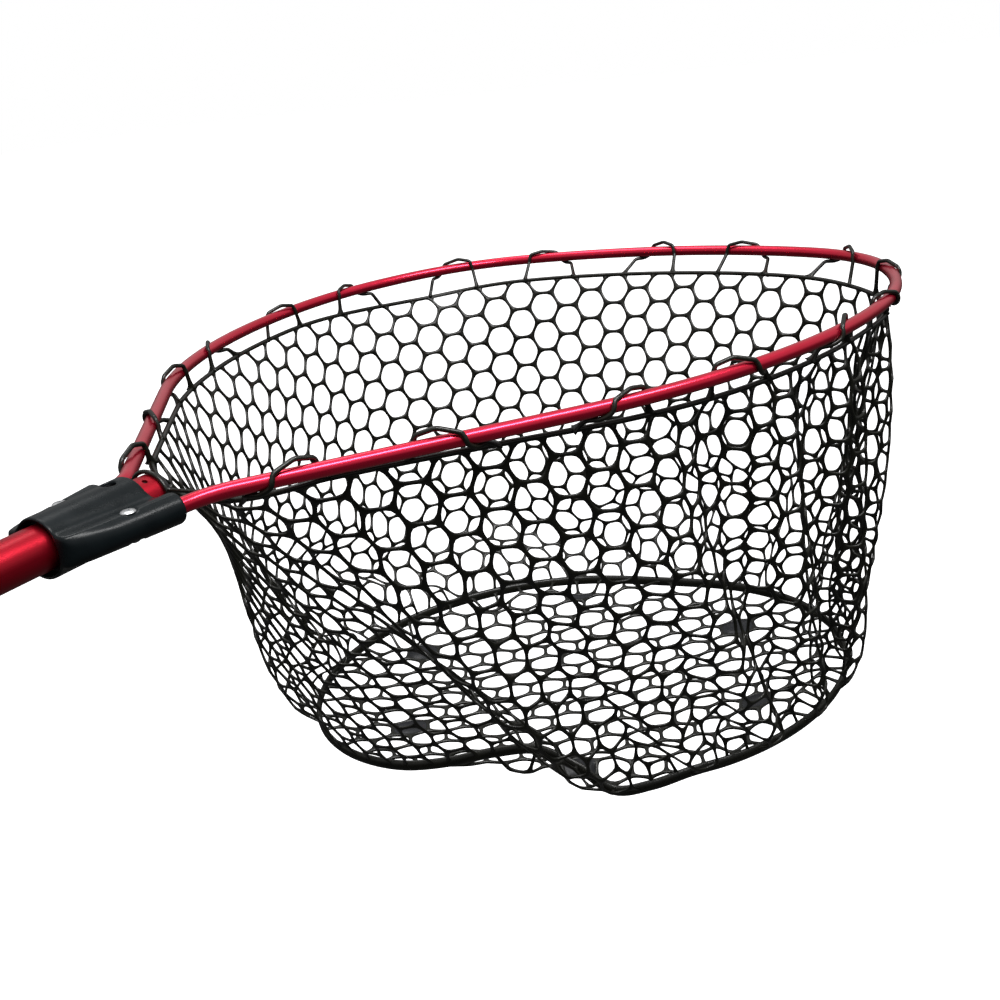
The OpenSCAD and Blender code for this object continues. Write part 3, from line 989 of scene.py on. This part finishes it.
def strand_mesh(points, cells, rise):
    """Closed mesh of the strands round the cells: thick at the nodes, thin between them."""
    normal = node_normals(points, cells)
    edges = edges_of(cells)
    middle = {pair: i for i, pair in enumerate(map(tuple, edges.tolist()))}
    sharing = Counter(ordered(v, cell[i - 1]) for cell in cells for i, v in enumerate(cell))
    used = sorted({v for cell in cells for v in cell})
    index = {v: i for i, v in enumerate(used)}
    mid_point = points[edges].mean(1)
    mid_rise = unit(normal[edges].sum(1)) * rise * WAIST
    node_rise = normal[used] * rise
    verts = [points[used] + node_rise, points[used] - node_rise, mid_point + mid_rise, mid_point - mid_rise]
    low_node, top_mid, low_mid = len(used), 2 * len(used), 2 * len(used) + len(edges)
    count = low_mid + len(edges)
    faces = []
    for cell in cells:
        p = points[cell]
        centre = p.mean(0)
        size = len(cell)
        verts.append(drawn_in(p, centre, NODE_INSET))
        verts.append(drawn_in((p + np.roll(p, -1, 0)) / 2, centre, STRAND_INSET))
        for i in range(size):
            v, w = cell[i], cell[(i + 1) % size]
            m = middle[ordered(v, w)]
            c0, c1 = count + i, count + (i + 1) % size
            e = count + size + i
            top0, top1, top_m = index[v], index[w], top_mid + m
            low0, low1, low_m = low_node + index[v], low_node + index[w], low_mid + m
            faces += [(top0, top_m, e, c0), (top_m, top1, c1, e),
                      (low0, c0, e, low_m), (low_m, e, c1, low1)]
            if sharing[ordered(v, w)] == 1:
                faces += [(top0, low0, low_m, top_m), (top_m, low_m, low1, top1)]
        count += 2 * size
    return np.vstack(verts), faces


def net_piece(name, points, cells, rise, node):
    """One panel of the bag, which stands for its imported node."""
    obj = link_mesh(name, *strand_mesh(points, cells, rise))
    smooth = obj.modifiers.new("smooth", "SUBSURF")
    smooth.levels = 1
    smooth.render_levels = 1
    return add_piece(obj, "head", RUBBER, (node,))


def make_bag():
    """Wall, floor, seam and tabs, hung as one sheet."""
    points, wall_cells, floor_cells, rim, seam, place = bag_sheet()
    points = hang(points, wall_cells + floor_cells, rim, seam, place)
    smooth_ring(points, seam, SEAM_SMOOTHING)
    net_piece("bag_wall_mesh", points, wall_cells, WALL_RISE, "net_wall")
    net_piece("bag_floor_mesh", points, floor_cells, FLOOR_RISE, "net_floor")
    make_seam(points[seam])
    make_tabs(points, floor_cells)


BAND_SIZE = np.array([2.4, 4.8])    # the seam band's half width and half height


def make_seam(line):
    """The moulded band that joins the wall to the floor."""
    curve = spline(line[::3], 8, closed=True)
    section = round_section(1.0, 10) * BAND_SIZE
    obj = link_mesh("floor_seam_band", *sweep(curve, section, closed=True, up=(0, 0, 1)))
    add_piece(obj, "head", RUBBER, ("floor_seam",))


TABS = 6
TAB_RING = 145.0                 # radius of their ring, whose halves stand further apart sideways
TAB_SHIFT = 20.0
TAB_FIRST = 21.0                 # heading of the first, in degrees
TAB_RISE = 0.7                   # half the plate's thickness


def make_tabs(points, floor_cells):
    """Flat tabs that fill single openings of the floor, in a ring."""
    centres = np.array([points[cell].mean(0) for cell in floor_cells])
    for i in range(TABS):
        turn = TAB_FIRST + i * 360 / TABS
        y = TAB_RING * sind(turn) + TAB_SHIFT * np.sign(sind(turn))
        aim = np.array([FLOOR_X + TAB_RING * cosd(turn) + SEAM_SHEAR * y, y])
        gap = ((centres[:, :2] - aim) ** 2).sum(1)
        gap[[len(cell) != 6 for cell in floor_cells]] = np.inf
        add_tab(f"floor_tab_{i + 1}", points[floor_cells[int(gap.argmin())]])


def add_tab(name, corners):
    """A thin plate over one opening, its edge sunk in the strands round it, with a shallow raised field."""
    field_rise = TAB_RISE * 1.8
    centre = corners.mean(0)
    up = cell_normal(corners)
    outline = spline(corners, 5, closed=True)
    rings = [centre + (outline - centre) * share + up * height for share, height in (
        (0.0, -TAB_RISE), (0.6, -TAB_RISE), (0.97, -TAB_RISE), (1.0, 0), (0.97, TAB_RISE),
        (0.72, TAB_RISE), (0.66, field_rise), (0.0, field_rise))]
    obj = link_mesh(name, np.vstack(rings), grid_faces(len(rings), len(outline), False))
    weld(obj)
    add_piece(obj, "head", TAB_RUBBER, ("floor_tabs",), sharp=50)


def weld(obj):
    """Joins points that lie together, as at the middle of a plate."""
    work = bmesh.new()
    work.from_mesh(obj.data)
    bmesh.ops.remove_doubles(work, verts=work.verts, dist=0.01 * MM)
    bmesh.ops.recalc_face_normals(work, faces=work.faces)
    work.to_mesh(obj.data)
    work.free()
    obj.data.shade_smooth()


# ---- Rim cord and lacing ----
LOOPS = 18
CREEP = 38.0                     # the loops round the tip sit this much further on than evenly spaced ones
LOOP_SPAN = 54.0                 # a loop's reach along the hoop
LOOP_R = 1.65
LOOP_BEND = 2.2
LOOP_STEP = 1.6                  # spacing of the points along a loop
LOOP_SLACK = (0.2, 3.2)          # least and most height of a loop above the tube
LOOP_SINK = 0.1                  # a loop is pressed this far into the tube, so that it lies close
CORD_STEPS = 480                 # points round the rim cord before it is refined
CORD_SIDES = 10


def make_rim_cord():
    """The cord that edges the mesh. Its line is handed on for the lacing."""
    curve = at_share(rim_line(), np.arange(CORD_STEPS) / CORD_STEPS)
    curve = spline(curve, 2, closed=True)
    section = round_section(CORD_R, CORD_SIDES)
    obj = link_mesh("rim_cord_line", *sweep(curve, section, closed=True, up=(0, 0, 1)))
    add_piece(obj, "head", RUBBER, ("rim_cord",))
    return curve


def pushed_out(curve, centre_line):
    """Moves a lacing curve's points out of the hoop's tube."""
    clear = TUBE_R + LOOP_R - LOOP_SINK
    out = curve.copy()
    for i, p in enumerate(curve):
        nearest = centre_line[((centre_line - p) ** 2).sum(1).argmin()]
        away = p - nearest
        far = np.linalg.norm(away)
        if far < clear:
            out[i] = nearest + away / far * clear
    return out


def lacing_curve(distance, lean, slack, line, lengths, rim):
    """One loop: from the rim cord up the tube's inner side, over it at a slant, back underneath."""
    def on_tube(share, inward, height):
        place = distance + lean * (0.5 - share) * LOOP_SPAN
        p = np.array([np.interp(place, lengths, line[:, i]) for i in range(2)])
        q = np.array([np.interp(place + 1, lengths, line[:, i]) for i in range(2)])
        ahead = unit(q - p)
        across = np.array([ahead[1], -ahead[0]])
        return np.array([*(p + across * inward), height])

    def on_rim(share):
        p = on_tube(share, RIM_INSET, 0)
        return rim[((rim[:, :2] - p[:2]) ** 2).sum(1).argmin()]

    r = TUBE_R + LOOP_R
    corners = [
        on_rim(0), on_tube(0.05, r * 0.95, -r * 0.3), on_tube(0.08, r * 0.8, r * 0.75 + slack * 0.5),
        on_tube(0.30, r * 0.1, r + slack), on_tube(0.56, -r * 0.8, r * 0.6 + slack * 0.4),
        on_tube(0.60, -r * 0.95, -r * 0.4), on_tube(0.72, -r * 0.3, -r), on_tube(0.86, r * 0.5, -r),
        on_rim(1),
    ]
    centre_line = np.column_stack([line, np.zeros(len(line))])
    return pushed_out(bent(corners, LOOP_BEND, LOOP_STEP), centre_line)


def bent(corners, bend, step):
    """Straight runs between the corners, each corner taken round a short bend."""
    corners = np.array(corners)
    path = [corners[0]]
    for before, p, after in zip(corners, corners[1:], corners[2:]):
        back, on = before - p, after - p
        reach = min(bend, 0.45 * np.linalg.norm(back), 0.45 * np.linalg.norm(on))
        for t in np.linspace(0, 1, 5):
            path.append(p + reach * (unit(back) * (1 - t) ** 2 + unit(on) * t ** 2))
    path.append(corners[-1])
    path = np.array(path)
    lengths = run_lengths(path)
    places = np.linspace(0, lengths[-1], int(lengths[-1] / step) + 2)
    return np.column_stack([np.interp(places, lengths, path[:, i]) for i in range(3)])


def foot_flare(curve):
    """Section scale: a loop's ends spread into small webs where they join the rim cord."""
    fade, wider, thicker = 2.6, 2.0, 0.15
    d = run_lengths(curve)
    end = np.minimum(d, d[-1] - d)
    spread = np.exp(-end / fade)
    return np.column_stack([1 + wider * spread, 1 + thicker * spread])


def make_lacing(rim):
    """The loops that hang the rim cord from the hoop, leaning to and fro by turns."""
    rng = np.random.default_rng(SEED)
    half = half_outline(0, first=1)
    line = np.vstack([half, half[-2::-1] * np.array([1, -1])])
    lengths = run_lengths(line)
    total = lengths[-1]
    for i in range(LOOPS):
        even = (i + 0.5) * total / LOOPS
        distance = even + CREEP * sind(180 * even / total) ** 2
        lean = 1 if i % 2 == 0 else -1
        curve = lacing_curve(distance, lean, rng.uniform(*LOOP_SLACK), line, lengths, rim)
        verts, faces = sweep(curve, round_section(LOOP_R, CORD_SIDES), scale=foot_flare(curve))
        obj = link_mesh(f"lacing_loop_{i + 1:02d}", verts, faces)
        add_piece(obj, "head", RUBBER, ("rim_loops",))


def make_neck_loop(rim):
    """The rubber ring round the handle's nose, with two short legs to the rim cord."""
    x = NOSE_X - 2.5
    ring_r = HANDLE_R + 1.2
    strand_r, leg_r = 1.3, 1.2
    leg_turn, leg_spread = 20, 22.0
    a = np.radians(np.arange(0, 360, 6))
    loose_r = ring_r + (0.5 * np.sin(2 * a + 0.4) + 0.5)
    ring = np.column_stack([x + 0.8 * np.sin(a), loose_r * np.cos(a), loose_r * np.sin(a)])
    parts = [sweep(ring, round_section(strand_r, CORD_SIDES), closed=True, up=(1, 0, 0))]
    for side in (-1, 1):
        start = np.array([x, side * ring_r * cosd(leg_turn), ring_r * sind(leg_turn)])
        aim = np.array([rim[:, 0].min(), side * leg_spread])
        end = rim[((rim[:, :2] - aim) ** 2).sum(1).argmin()]
        bow = (start + end) / 2 + np.array([2.0, side * 3.0, 1.0])
        leg = spline([start, bow, end], 8)
        parts.append(sweep(leg, round_section(leg_r, CORD_SIDES), scale=foot_flare(leg)))
    obj = link_mesh("neck_ring", *merged(parts))
    add_piece(obj, "head", RUBBER, ("neck_loop",))


# ---- Hoop and handle ----
FLUTE_WIDTH = 6.5                # this many degrees from its middle, a flute is a third as deep
FLUTE_END = (6.5, 4.0)           # the flutes run out between these distances behind the nose
BUTTON_HOLE_R = 3.85
PIN_HOLE_R = 1.6                 # the small hole in the nose
PIN_HOLE_BACK = 9.0              # its distance behind the nose
PIN_HOLE_TURN = 25               # degrees from the top, towards the right side


def make_hoop():
    line = hoop_line()
    sides = 32
    obj = link_mesh("hoop_tube", *sweep(line, round_section(TUBE_R, sides), up=(0, 0, 1)))
    add_sweep_uv(obj, line, sides, TUBE_R)
    add_piece(obj, "head", HOOP_RED, ("hoop",), sharp=60)


def flute_dip(angle, x):
    """How far the flutes press the handle in at this angle: they run out just behind the nose."""
    pitch = 360 / FLUTES
    off = (angle % pitch) - pitch / 2
    start, end = FLUTE_END
    run_out = 1 - ease(x, NOSE_X - start, NOSE_X - end)
    return FLUTE_DEPTH * np.exp(-(off / FLUTE_WIDTH) ** 2) * run_out


def make_handle():
    """The fluted tube, open at the rear, with the button's hole and the small hole in its nose."""
    sides = 240
    angle = np.arange(sides) * 360 / sides
    stations = [REAR_X, REAR_X + 2, *np.arange(REAR_X + 50, NOSE_X - 60, 50.0),
                *np.arange(NOSE_X - 44, NOSE_X - 8, 4.0), *np.arange(NOSE_X - 7.5, NOSE_X - 1, 0.5)]
    outer = [(x, HANDLE_R) for x in stations] + [(NOSE_X - 0.2, HANDLE_R - 0.1), (NOSE_X, HANDLE_R - 0.4)]
    inner = [(NOSE_X, BORE_R + 0.3), (NOSE_X - 0.3, BORE_R), (REAR_X, BORE_R)]
    profile = [(x, r - flute_dip(angle, x)) for x, r in outer] + inner
    rings = [np.column_stack([np.full(sides, x), r * cosines(angle), r * sines(angle)]) for x, r in profile]
    obj = link_mesh("handle_tube_fluted", np.vstack(rings), grid_faces(len(rings), sides, True))
    button_x = (button_low[0] + button_high[0]) / 2
    pin_verts, pin_faces = upright_cylinder(0, 0, HANDLE_R - 3, HANDLE_R + 3, PIN_HOLE_R, 24)
    tilt = np.array(Matrix.Rotation(math.radians(PIN_HOLE_TURN), 3, "X"))
    pin_verts = pin_verts @ tilt.T + np.array([NOSE_X - PIN_HOLE_BACK, 0, 0])
    button_hole = upright_cylinder(button_x, 0, 0, 2 * HANDLE_R, BUTTON_HOLE_R)
    boolean_cut(obj, [button_hole, (pin_verts, pin_faces)])
    add_round_uv(obj, HANDLE_R)
    # Its red carries painted shade: a darker copy of the hoop's red.
    add_piece(obj, "handle", HANDLE_RED_PAINTED_SHADE, ("handle_tube",), sharp=35)


SLEEVE_GAP = 0.05                # between the handle and what is slipped over it


def make_grip():
    """Foam sleeve with soft ends."""
    low, high = grip_low[0], grip_high[0]
    r, bore = grip_high[2], HANDLE_R + SLEEVE_GAP
    profile = rounded([(low, bore), (low, r, 2.0), (high, r, 2.0), (high, bore)], 0.2, 6)
    obj = link_mesh("grip_foam", *lathe(profile, 96))
    add_piece(obj, "handle", FOAM, ("grip",), sharp=60)


def make_collar():
    """Ring with a groove and a nose that slopes down to the handle."""
    low, high = collar_low[0], collar_high[0]
    r, bore = collar_high[2], HANDLE_R + SLEEVE_GAP
    profile = rounded([(low, bore), (low, r, 0.6), (low + 3, r, 0.4), (low + 3.6, r - 0.7, 0.3),
                       (low + 4.6, r - 0.7, 0.3), (low + 5.2, r, 0.4), (high - 4, r, 1.2),
                       (high, HANDLE_R + 1, 0.5), (high, bore)], 0.15, 5)
    obj = link_mesh("grip_collar_ring", *lathe(profile, 96))
    add_piece(obj, "handle", TRIM_BLACK, ("grip_collar",), sharp=50)


def cap_field(x, y, z):
    """Distance to the butt cap: a domed flange, a plug and a lug with the hanging hole."""
    r = np.hypot(y, z)
    flange_back, flange_front = REAR_X - 6, REAR_X - SLEEVE_GAP
    lug_r, lug_t, hole_r = 9.0, 8.0, 4.0
    lug_x = cap_low[0] + lug_r
    flange = rounded_cylinder(r, x, cap_high[2], flange_back, flange_front, 2.0)
    plug = rounded_cylinder(r, x, BORE_R - SLEEVE_GAP, flange_front - 2, cap_high[0], 0.5)
    ring = rounded_cylinder(np.hypot(x - lug_x, z), y, lug_r, -lug_t / 2, lug_t / 2, 1.6)
    neck = rounded_cylinder(np.abs(z), x, lug_r, lug_x, flange_back + 3, 0.3)
    neck = np.maximum(neck, np.abs(y) - lug_t / 2)
    lug = smooth_union(ring, neck, 1.5)
    hole = np.hypot(x - lug_x, z) - hole_r
    body = smooth_union(flange, smooth_cut(lug, hole, 1.2), 2.5)
    return np.minimum(body, plug)


def make_butt_cap():
    low, high = cap_low - 2, cap_high + 2
    obj = link_mesh("butt_cap_moulded", *surface_net(cap_field, low, high, 0.6))
    add_piece(obj, "handle", TRIM_BLACK, ("butt_cap",))


# ---- Yoke ----
# Stations are measured from the head's own zero
BARREL_REAR = yoke_low[0] - HEAD_X
BARREL_FRONT = -10.0
BARREL_R = yoke_high[2]
BUSH_R = HANDLE_R + 2.0
MOUTH_FLARE = 1.3                # the barrel's bore opens out this much at its rear end
MOUTH_DEPTH = 6.0
SOCKET_MOUTH = -6.0
SOCKET_R = 8.75
SOCKET_TAPER = 0.01              # growth of the socket's radius per millimetre forwards
LEG_GAP = 0.1
WEB_HALF = 6.0                   # half thickness of the web between the sockets
WAIST_Y = 23.0                   # half width of the rear end, whose sides widen forwards
WAIST_SLOPE = 0.5
RIVET_X = -35.0
RIVET_Y = LEG_Y + RIVET_X * math.tan(math.radians(SOCKET_TURN))
SOCKET_TOP = SOCKET_R - 0.9      # height of the rivets' seats
SEAT_R = 5.0
RECESS_R = 4.1                   # radius of the lock button's hole in the barrel


def yoke_field(x, y, z):
    """Distance to the yoke: a barrel and two leg sockets run together into one moulding."""
    x = x - HEAD_X
    side = np.abs(y)
    from_axis = np.hypot(y, z)
    along = x * cosd(SOCKET_TURN) + (side - LEG_Y) * sind(SOCKET_TURN)
    lateral = -x * sind(SOCKET_TURN) + (side - LEG_Y) * cosd(SOCKET_TURN)
    from_leg = np.hypot(lateral, z)
    barrel = rounded_cylinder(from_axis, x, BARREL_R, BARREL_REAR, BARREL_FRONT, 1.6)
    socket_r = SOCKET_R + SOCKET_TAPER * along
    socket = rounded_cylinder(from_leg, along, socket_r, BARREL_REAR - 6, SOCKET_MOUTH, 1.4)
    web = np.maximum(np.abs(z) - WEB_HALF, np.maximum(lateral, x - BARREL_FRONT + 1))
    body = smooth_union(smooth_union(barrel, socket, 7.0), web, 5.0)
    body = smooth_cut(body, x - BARREL_REAR, 2.5)
    outside = (side - WAIST_Y - WAIST_SLOPE * (x - BARREL_REAR)) / math.hypot(1, WAIST_SLOPE)
    body = smooth_cut(body, -outside, 5.0)
    bore_r = BUSH_R + MOUTH_FLARE * (1 - ease(x, BARREL_REAR - 1, BARREL_REAR + MOUTH_DEPTH))
    body = smooth_cut(body, from_axis - bore_r, 1.2)
    leg = np.maximum(from_leg - TUBE_R - LEG_GAP, -along - LEG_IN - 1)
    body = smooth_cut(body, leg, 0.8)
    from_rivet = np.hypot(x - RIVET_X, side - RIVET_Y)
    seat = np.maximum(from_rivet - SEAT_R, SOCKET_TOP - np.abs(z))
    body = smooth_cut(body, seat, 0.8)
    from_button = np.hypot(x - button_place(), y)
    return smooth_cut(body, np.maximum(from_button - RECESS_R, -z), 1.2)


def button_place():
    """The lock button's station from the head's own zero."""
    return (button_low[0] + button_high[0]) / 2 - HEAD_X


def make_yoke():
    low, high = yoke_low - 2.5, yoke_high + 2.5
    obj = link_mesh("yoke_moulding", *surface_net(yoke_field, low, high, 0.7))
    add_piece(obj, "head", YOKE_BLACK, ("yoke_body",))


def make_rivets():
    """Blind rivets: a domed head above, a shank and an upset tail below, round the mandrel."""
    seat, hole_r, shank_r = SOCKET_TOP + 0.05, 1.0, 1.55
    head = [(seat, hole_r), (seat, 4.1), (seat + 0.45, 4.2), (seat + 0.95, 3.5), (seat + 1.25, 2.2),
            (seat + 1.3, hole_r)]
    tail = [(-seat - 0.7, hole_r), (-seat - 0.65, 2.3), (-seat - 0.4, 2.8), (-seat, 2.6), (-seat, hole_r)]
    for number, side in enumerate((-1, 1), 1):
        parts = []
        for profile in (head, tail):
            verts, faces = lathe(spline(profile, 3), 40)
            parts.append((verts[:, [1, 2, 0]] + np.array([HEAD_X + RIVET_X, side * RIVET_Y, 0]), faces))
        parts.append(upright_cylinder(HEAD_X + RIVET_X, side * RIVET_Y, -seat, seat, shank_r, 24))
        obj = link_mesh(f"leg_rivet_{number}", *merged(parts))
        add_piece(obj, "head", ALU, ("leg_rivets",), sharp=50)


def dress_cad_nodes():
    """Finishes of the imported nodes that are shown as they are, with their edges eased."""
    finish = {
        "nose_plug": TRIM_BLACK, "button_carrier": LINER_BLACK, "lock_spring": STEEL,
        "lock_button": STEEL, "yoke_bush": LINER_BLACK, "rivet_mandrels": STEEL,
    }
    for node, material in finish.items():
        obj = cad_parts[node]
        obj.data.materials.clear()
        obj.data.materials.append(material)
        if node != "lock_spring":
            bevel = obj.modifiers.new("ease", "BEVEL")
            bevel.width = 0.25 * MM
            bevel.segments = 2
            bevel.limit_method = "ANGLE"
            bevel.angle_limit = math.radians(40)


# ---- Stage, light and camera ----
# Metres here, except where a line says otherwise
FLOOR_GLOW = 1.0                 # lifts the pale floor to the backdrop's white
FLOOR_DROP = 0.9
FLOOR_HALF = 40.0
ROOM = ((0.0, 0.08), (0.40, 0.02), (0.50, 0.14), (0.62, 0.40), (0.80, 0.42), (1.0, 0.80))
# Area lights: place from the hoop's middle, width and height, power in watts
LIGHTS = {
    "key": ((-0.3, -0.9, 1.5), (1.8, 0.36), 42),
    "top": ((0.2, 0.7, 1.7), (1.2, 0.5), 8),
}
VIEW_AZIMUTH, VIEW_ELEVATION, VIEW_ROLL = 33.71, -19.67, 7.4    # degrees, azimuth from +X
EYE = (-441.5, -527.9, 208.6)    # millimetres from the head's own zero
LENS, SENSOR = 45.14, 36         # millimetres


def make_floor():
    """Plain pale floor, far below, which neither tints nor mirrors in the part."""
    mesh = bpy.data.meshes.new("floor")
    z = cad_low[2] - FLOOR_DROP
    corners = [(x * FLOOR_HALF, y * FLOOR_HALF, z) for x, y in ((-1, -1), (1, -1), (1, 1), (-1, 1))]
    mesh.from_pydata(corners, [], [(0, 1, 2, 3)])
    floor = bpy.data.objects.new("floor", mesh)
    bpy.context.scene.collection.objects.link(floor)
    material, tree, surface = new_material("floor")
    grain = noise(tree, coordinates(tree), 3.0)
    tree.links.new(ramp(tree, grain, [(0.3, 0.93), (0.7, 0.96)]), surface.inputs["Base Color"])
    surface.inputs["Roughness"].default_value = 0.9
    surface.inputs["Emission Color"].default_value = (1, 1, 1, 1)
    surface.inputs["Emission Strength"].default_value = FLOOR_GLOW
    mesh.materials.append(material)
    floor.visible_glossy = False
    floor.visible_diffuse = False


def make_world():
    """White for the camera; for the object a soft room: its brightness by height, bottom to top."""
    world = bpy.data.worlds.new("studio")
    bpy.context.scene.world = world
    world.use_nodes = True
    tree = world.node_tree
    tree.nodes.clear()
    output = tree.nodes.new("ShaderNodeOutputWorld")
    plain = tree.nodes.new("ShaderNodeBackground")
    room = tree.nodes.new("ShaderNodeBackground")
    mix = tree.nodes.new("ShaderNodeMixShader")
    path = tree.nodes.new("ShaderNodeLightPath")
    split = tree.nodes.new("ShaderNodeSeparateXYZ")
    place = tree.nodes.new("ShaderNodeTexCoord")
    remap = tree.nodes.new("ShaderNodeMapRange")
    plain.inputs["Color"].default_value = (1, 1, 1, 1)
    tree.links.new(place.outputs["Generated"], split.inputs[0])
    remap.inputs["From Min"].default_value = -1
    tree.links.new(split.outputs["Z"], remap.inputs["Value"])
    tree.links.new(ramp(tree, remap.outputs["Result"], ROOM), room.inputs["Color"])
    tree.links.new(path.outputs["Is Camera Ray"], mix.inputs["Fac"])
    tree.links.new(room.outputs["Background"], mix.inputs[1])
    tree.links.new(plain.outputs["Background"], mix.inputs[2])
    tree.links.new(mix.outputs["Shader"], output.inputs["Surface"])


def add_light(name, place, aim, size, power):
    data = bpy.data.lights.new(name, "AREA")
    data.shape = "RECTANGLE"
    data.size, data.size_y = size
    data.energy = power
    obj = bpy.data.objects.new(name, data)
    obj.location = place
    obj.rotation_mode = "QUATERNION"
    obj.rotation_quaternion = (Vector(aim) - Vector(place)).to_track_quat("-Z", "Y")
    bpy.context.scene.collection.objects.link(obj)


def make_lights():
    middle = Vector(((hoop_low[0] + hoop_high[0]) / 2, 0, 0)) * MM
    for name, (place, size, power) in LIGHTS.items():
        add_light(name, middle + Vector(place), middle, size, power)


def make_camera():
    """The main view."""
    data = bpy.data.cameras.new("camera")
    data.lens = LENS
    data.sensor_width = SENSOR
    data.clip_end = 200
    camera = bpy.data.objects.new("camera", data)
    bpy.context.scene.collection.objects.link(camera)
    ahead = Vector((cosd(VIEW_ELEVATION) * cosd(VIEW_AZIMUTH),
                    cosd(VIEW_ELEVATION) * sind(VIEW_AZIMUTH), sind(VIEW_ELEVATION)))
    level = Vector((sind(VIEW_AZIMUTH), -cosd(VIEW_AZIMUTH), 0))
    upright = level.cross(ahead)
    right = level * cosd(VIEW_ROLL) - upright * sind(VIEW_ROLL)
    up = upright * cosd(VIEW_ROLL) + level * sind(VIEW_ROLL)
    camera.rotation_mode = "QUATERNION"
    camera.rotation_quaternion = Matrix((right, up, -ahead)).transposed().to_quaternion()
    camera.location = (Vector((HEAD_X, 0, 0)) + Vector(EYE)) * MM
    bpy.context.scene.camera = camera
    bpy.context.scene.view_settings.view_transform = "Standard"


make_handle()
make_grip()
make_collar()
make_butt_cap()
make_yoke()
make_rivets()
make_hoop()
rim_curve = make_rim_cord()
make_lacing(rim_curve)
make_neck_loop(rim_curve)
make_bag()
dress_cad_nodes()
make_floor()
make_world()
make_lights()
make_camera()
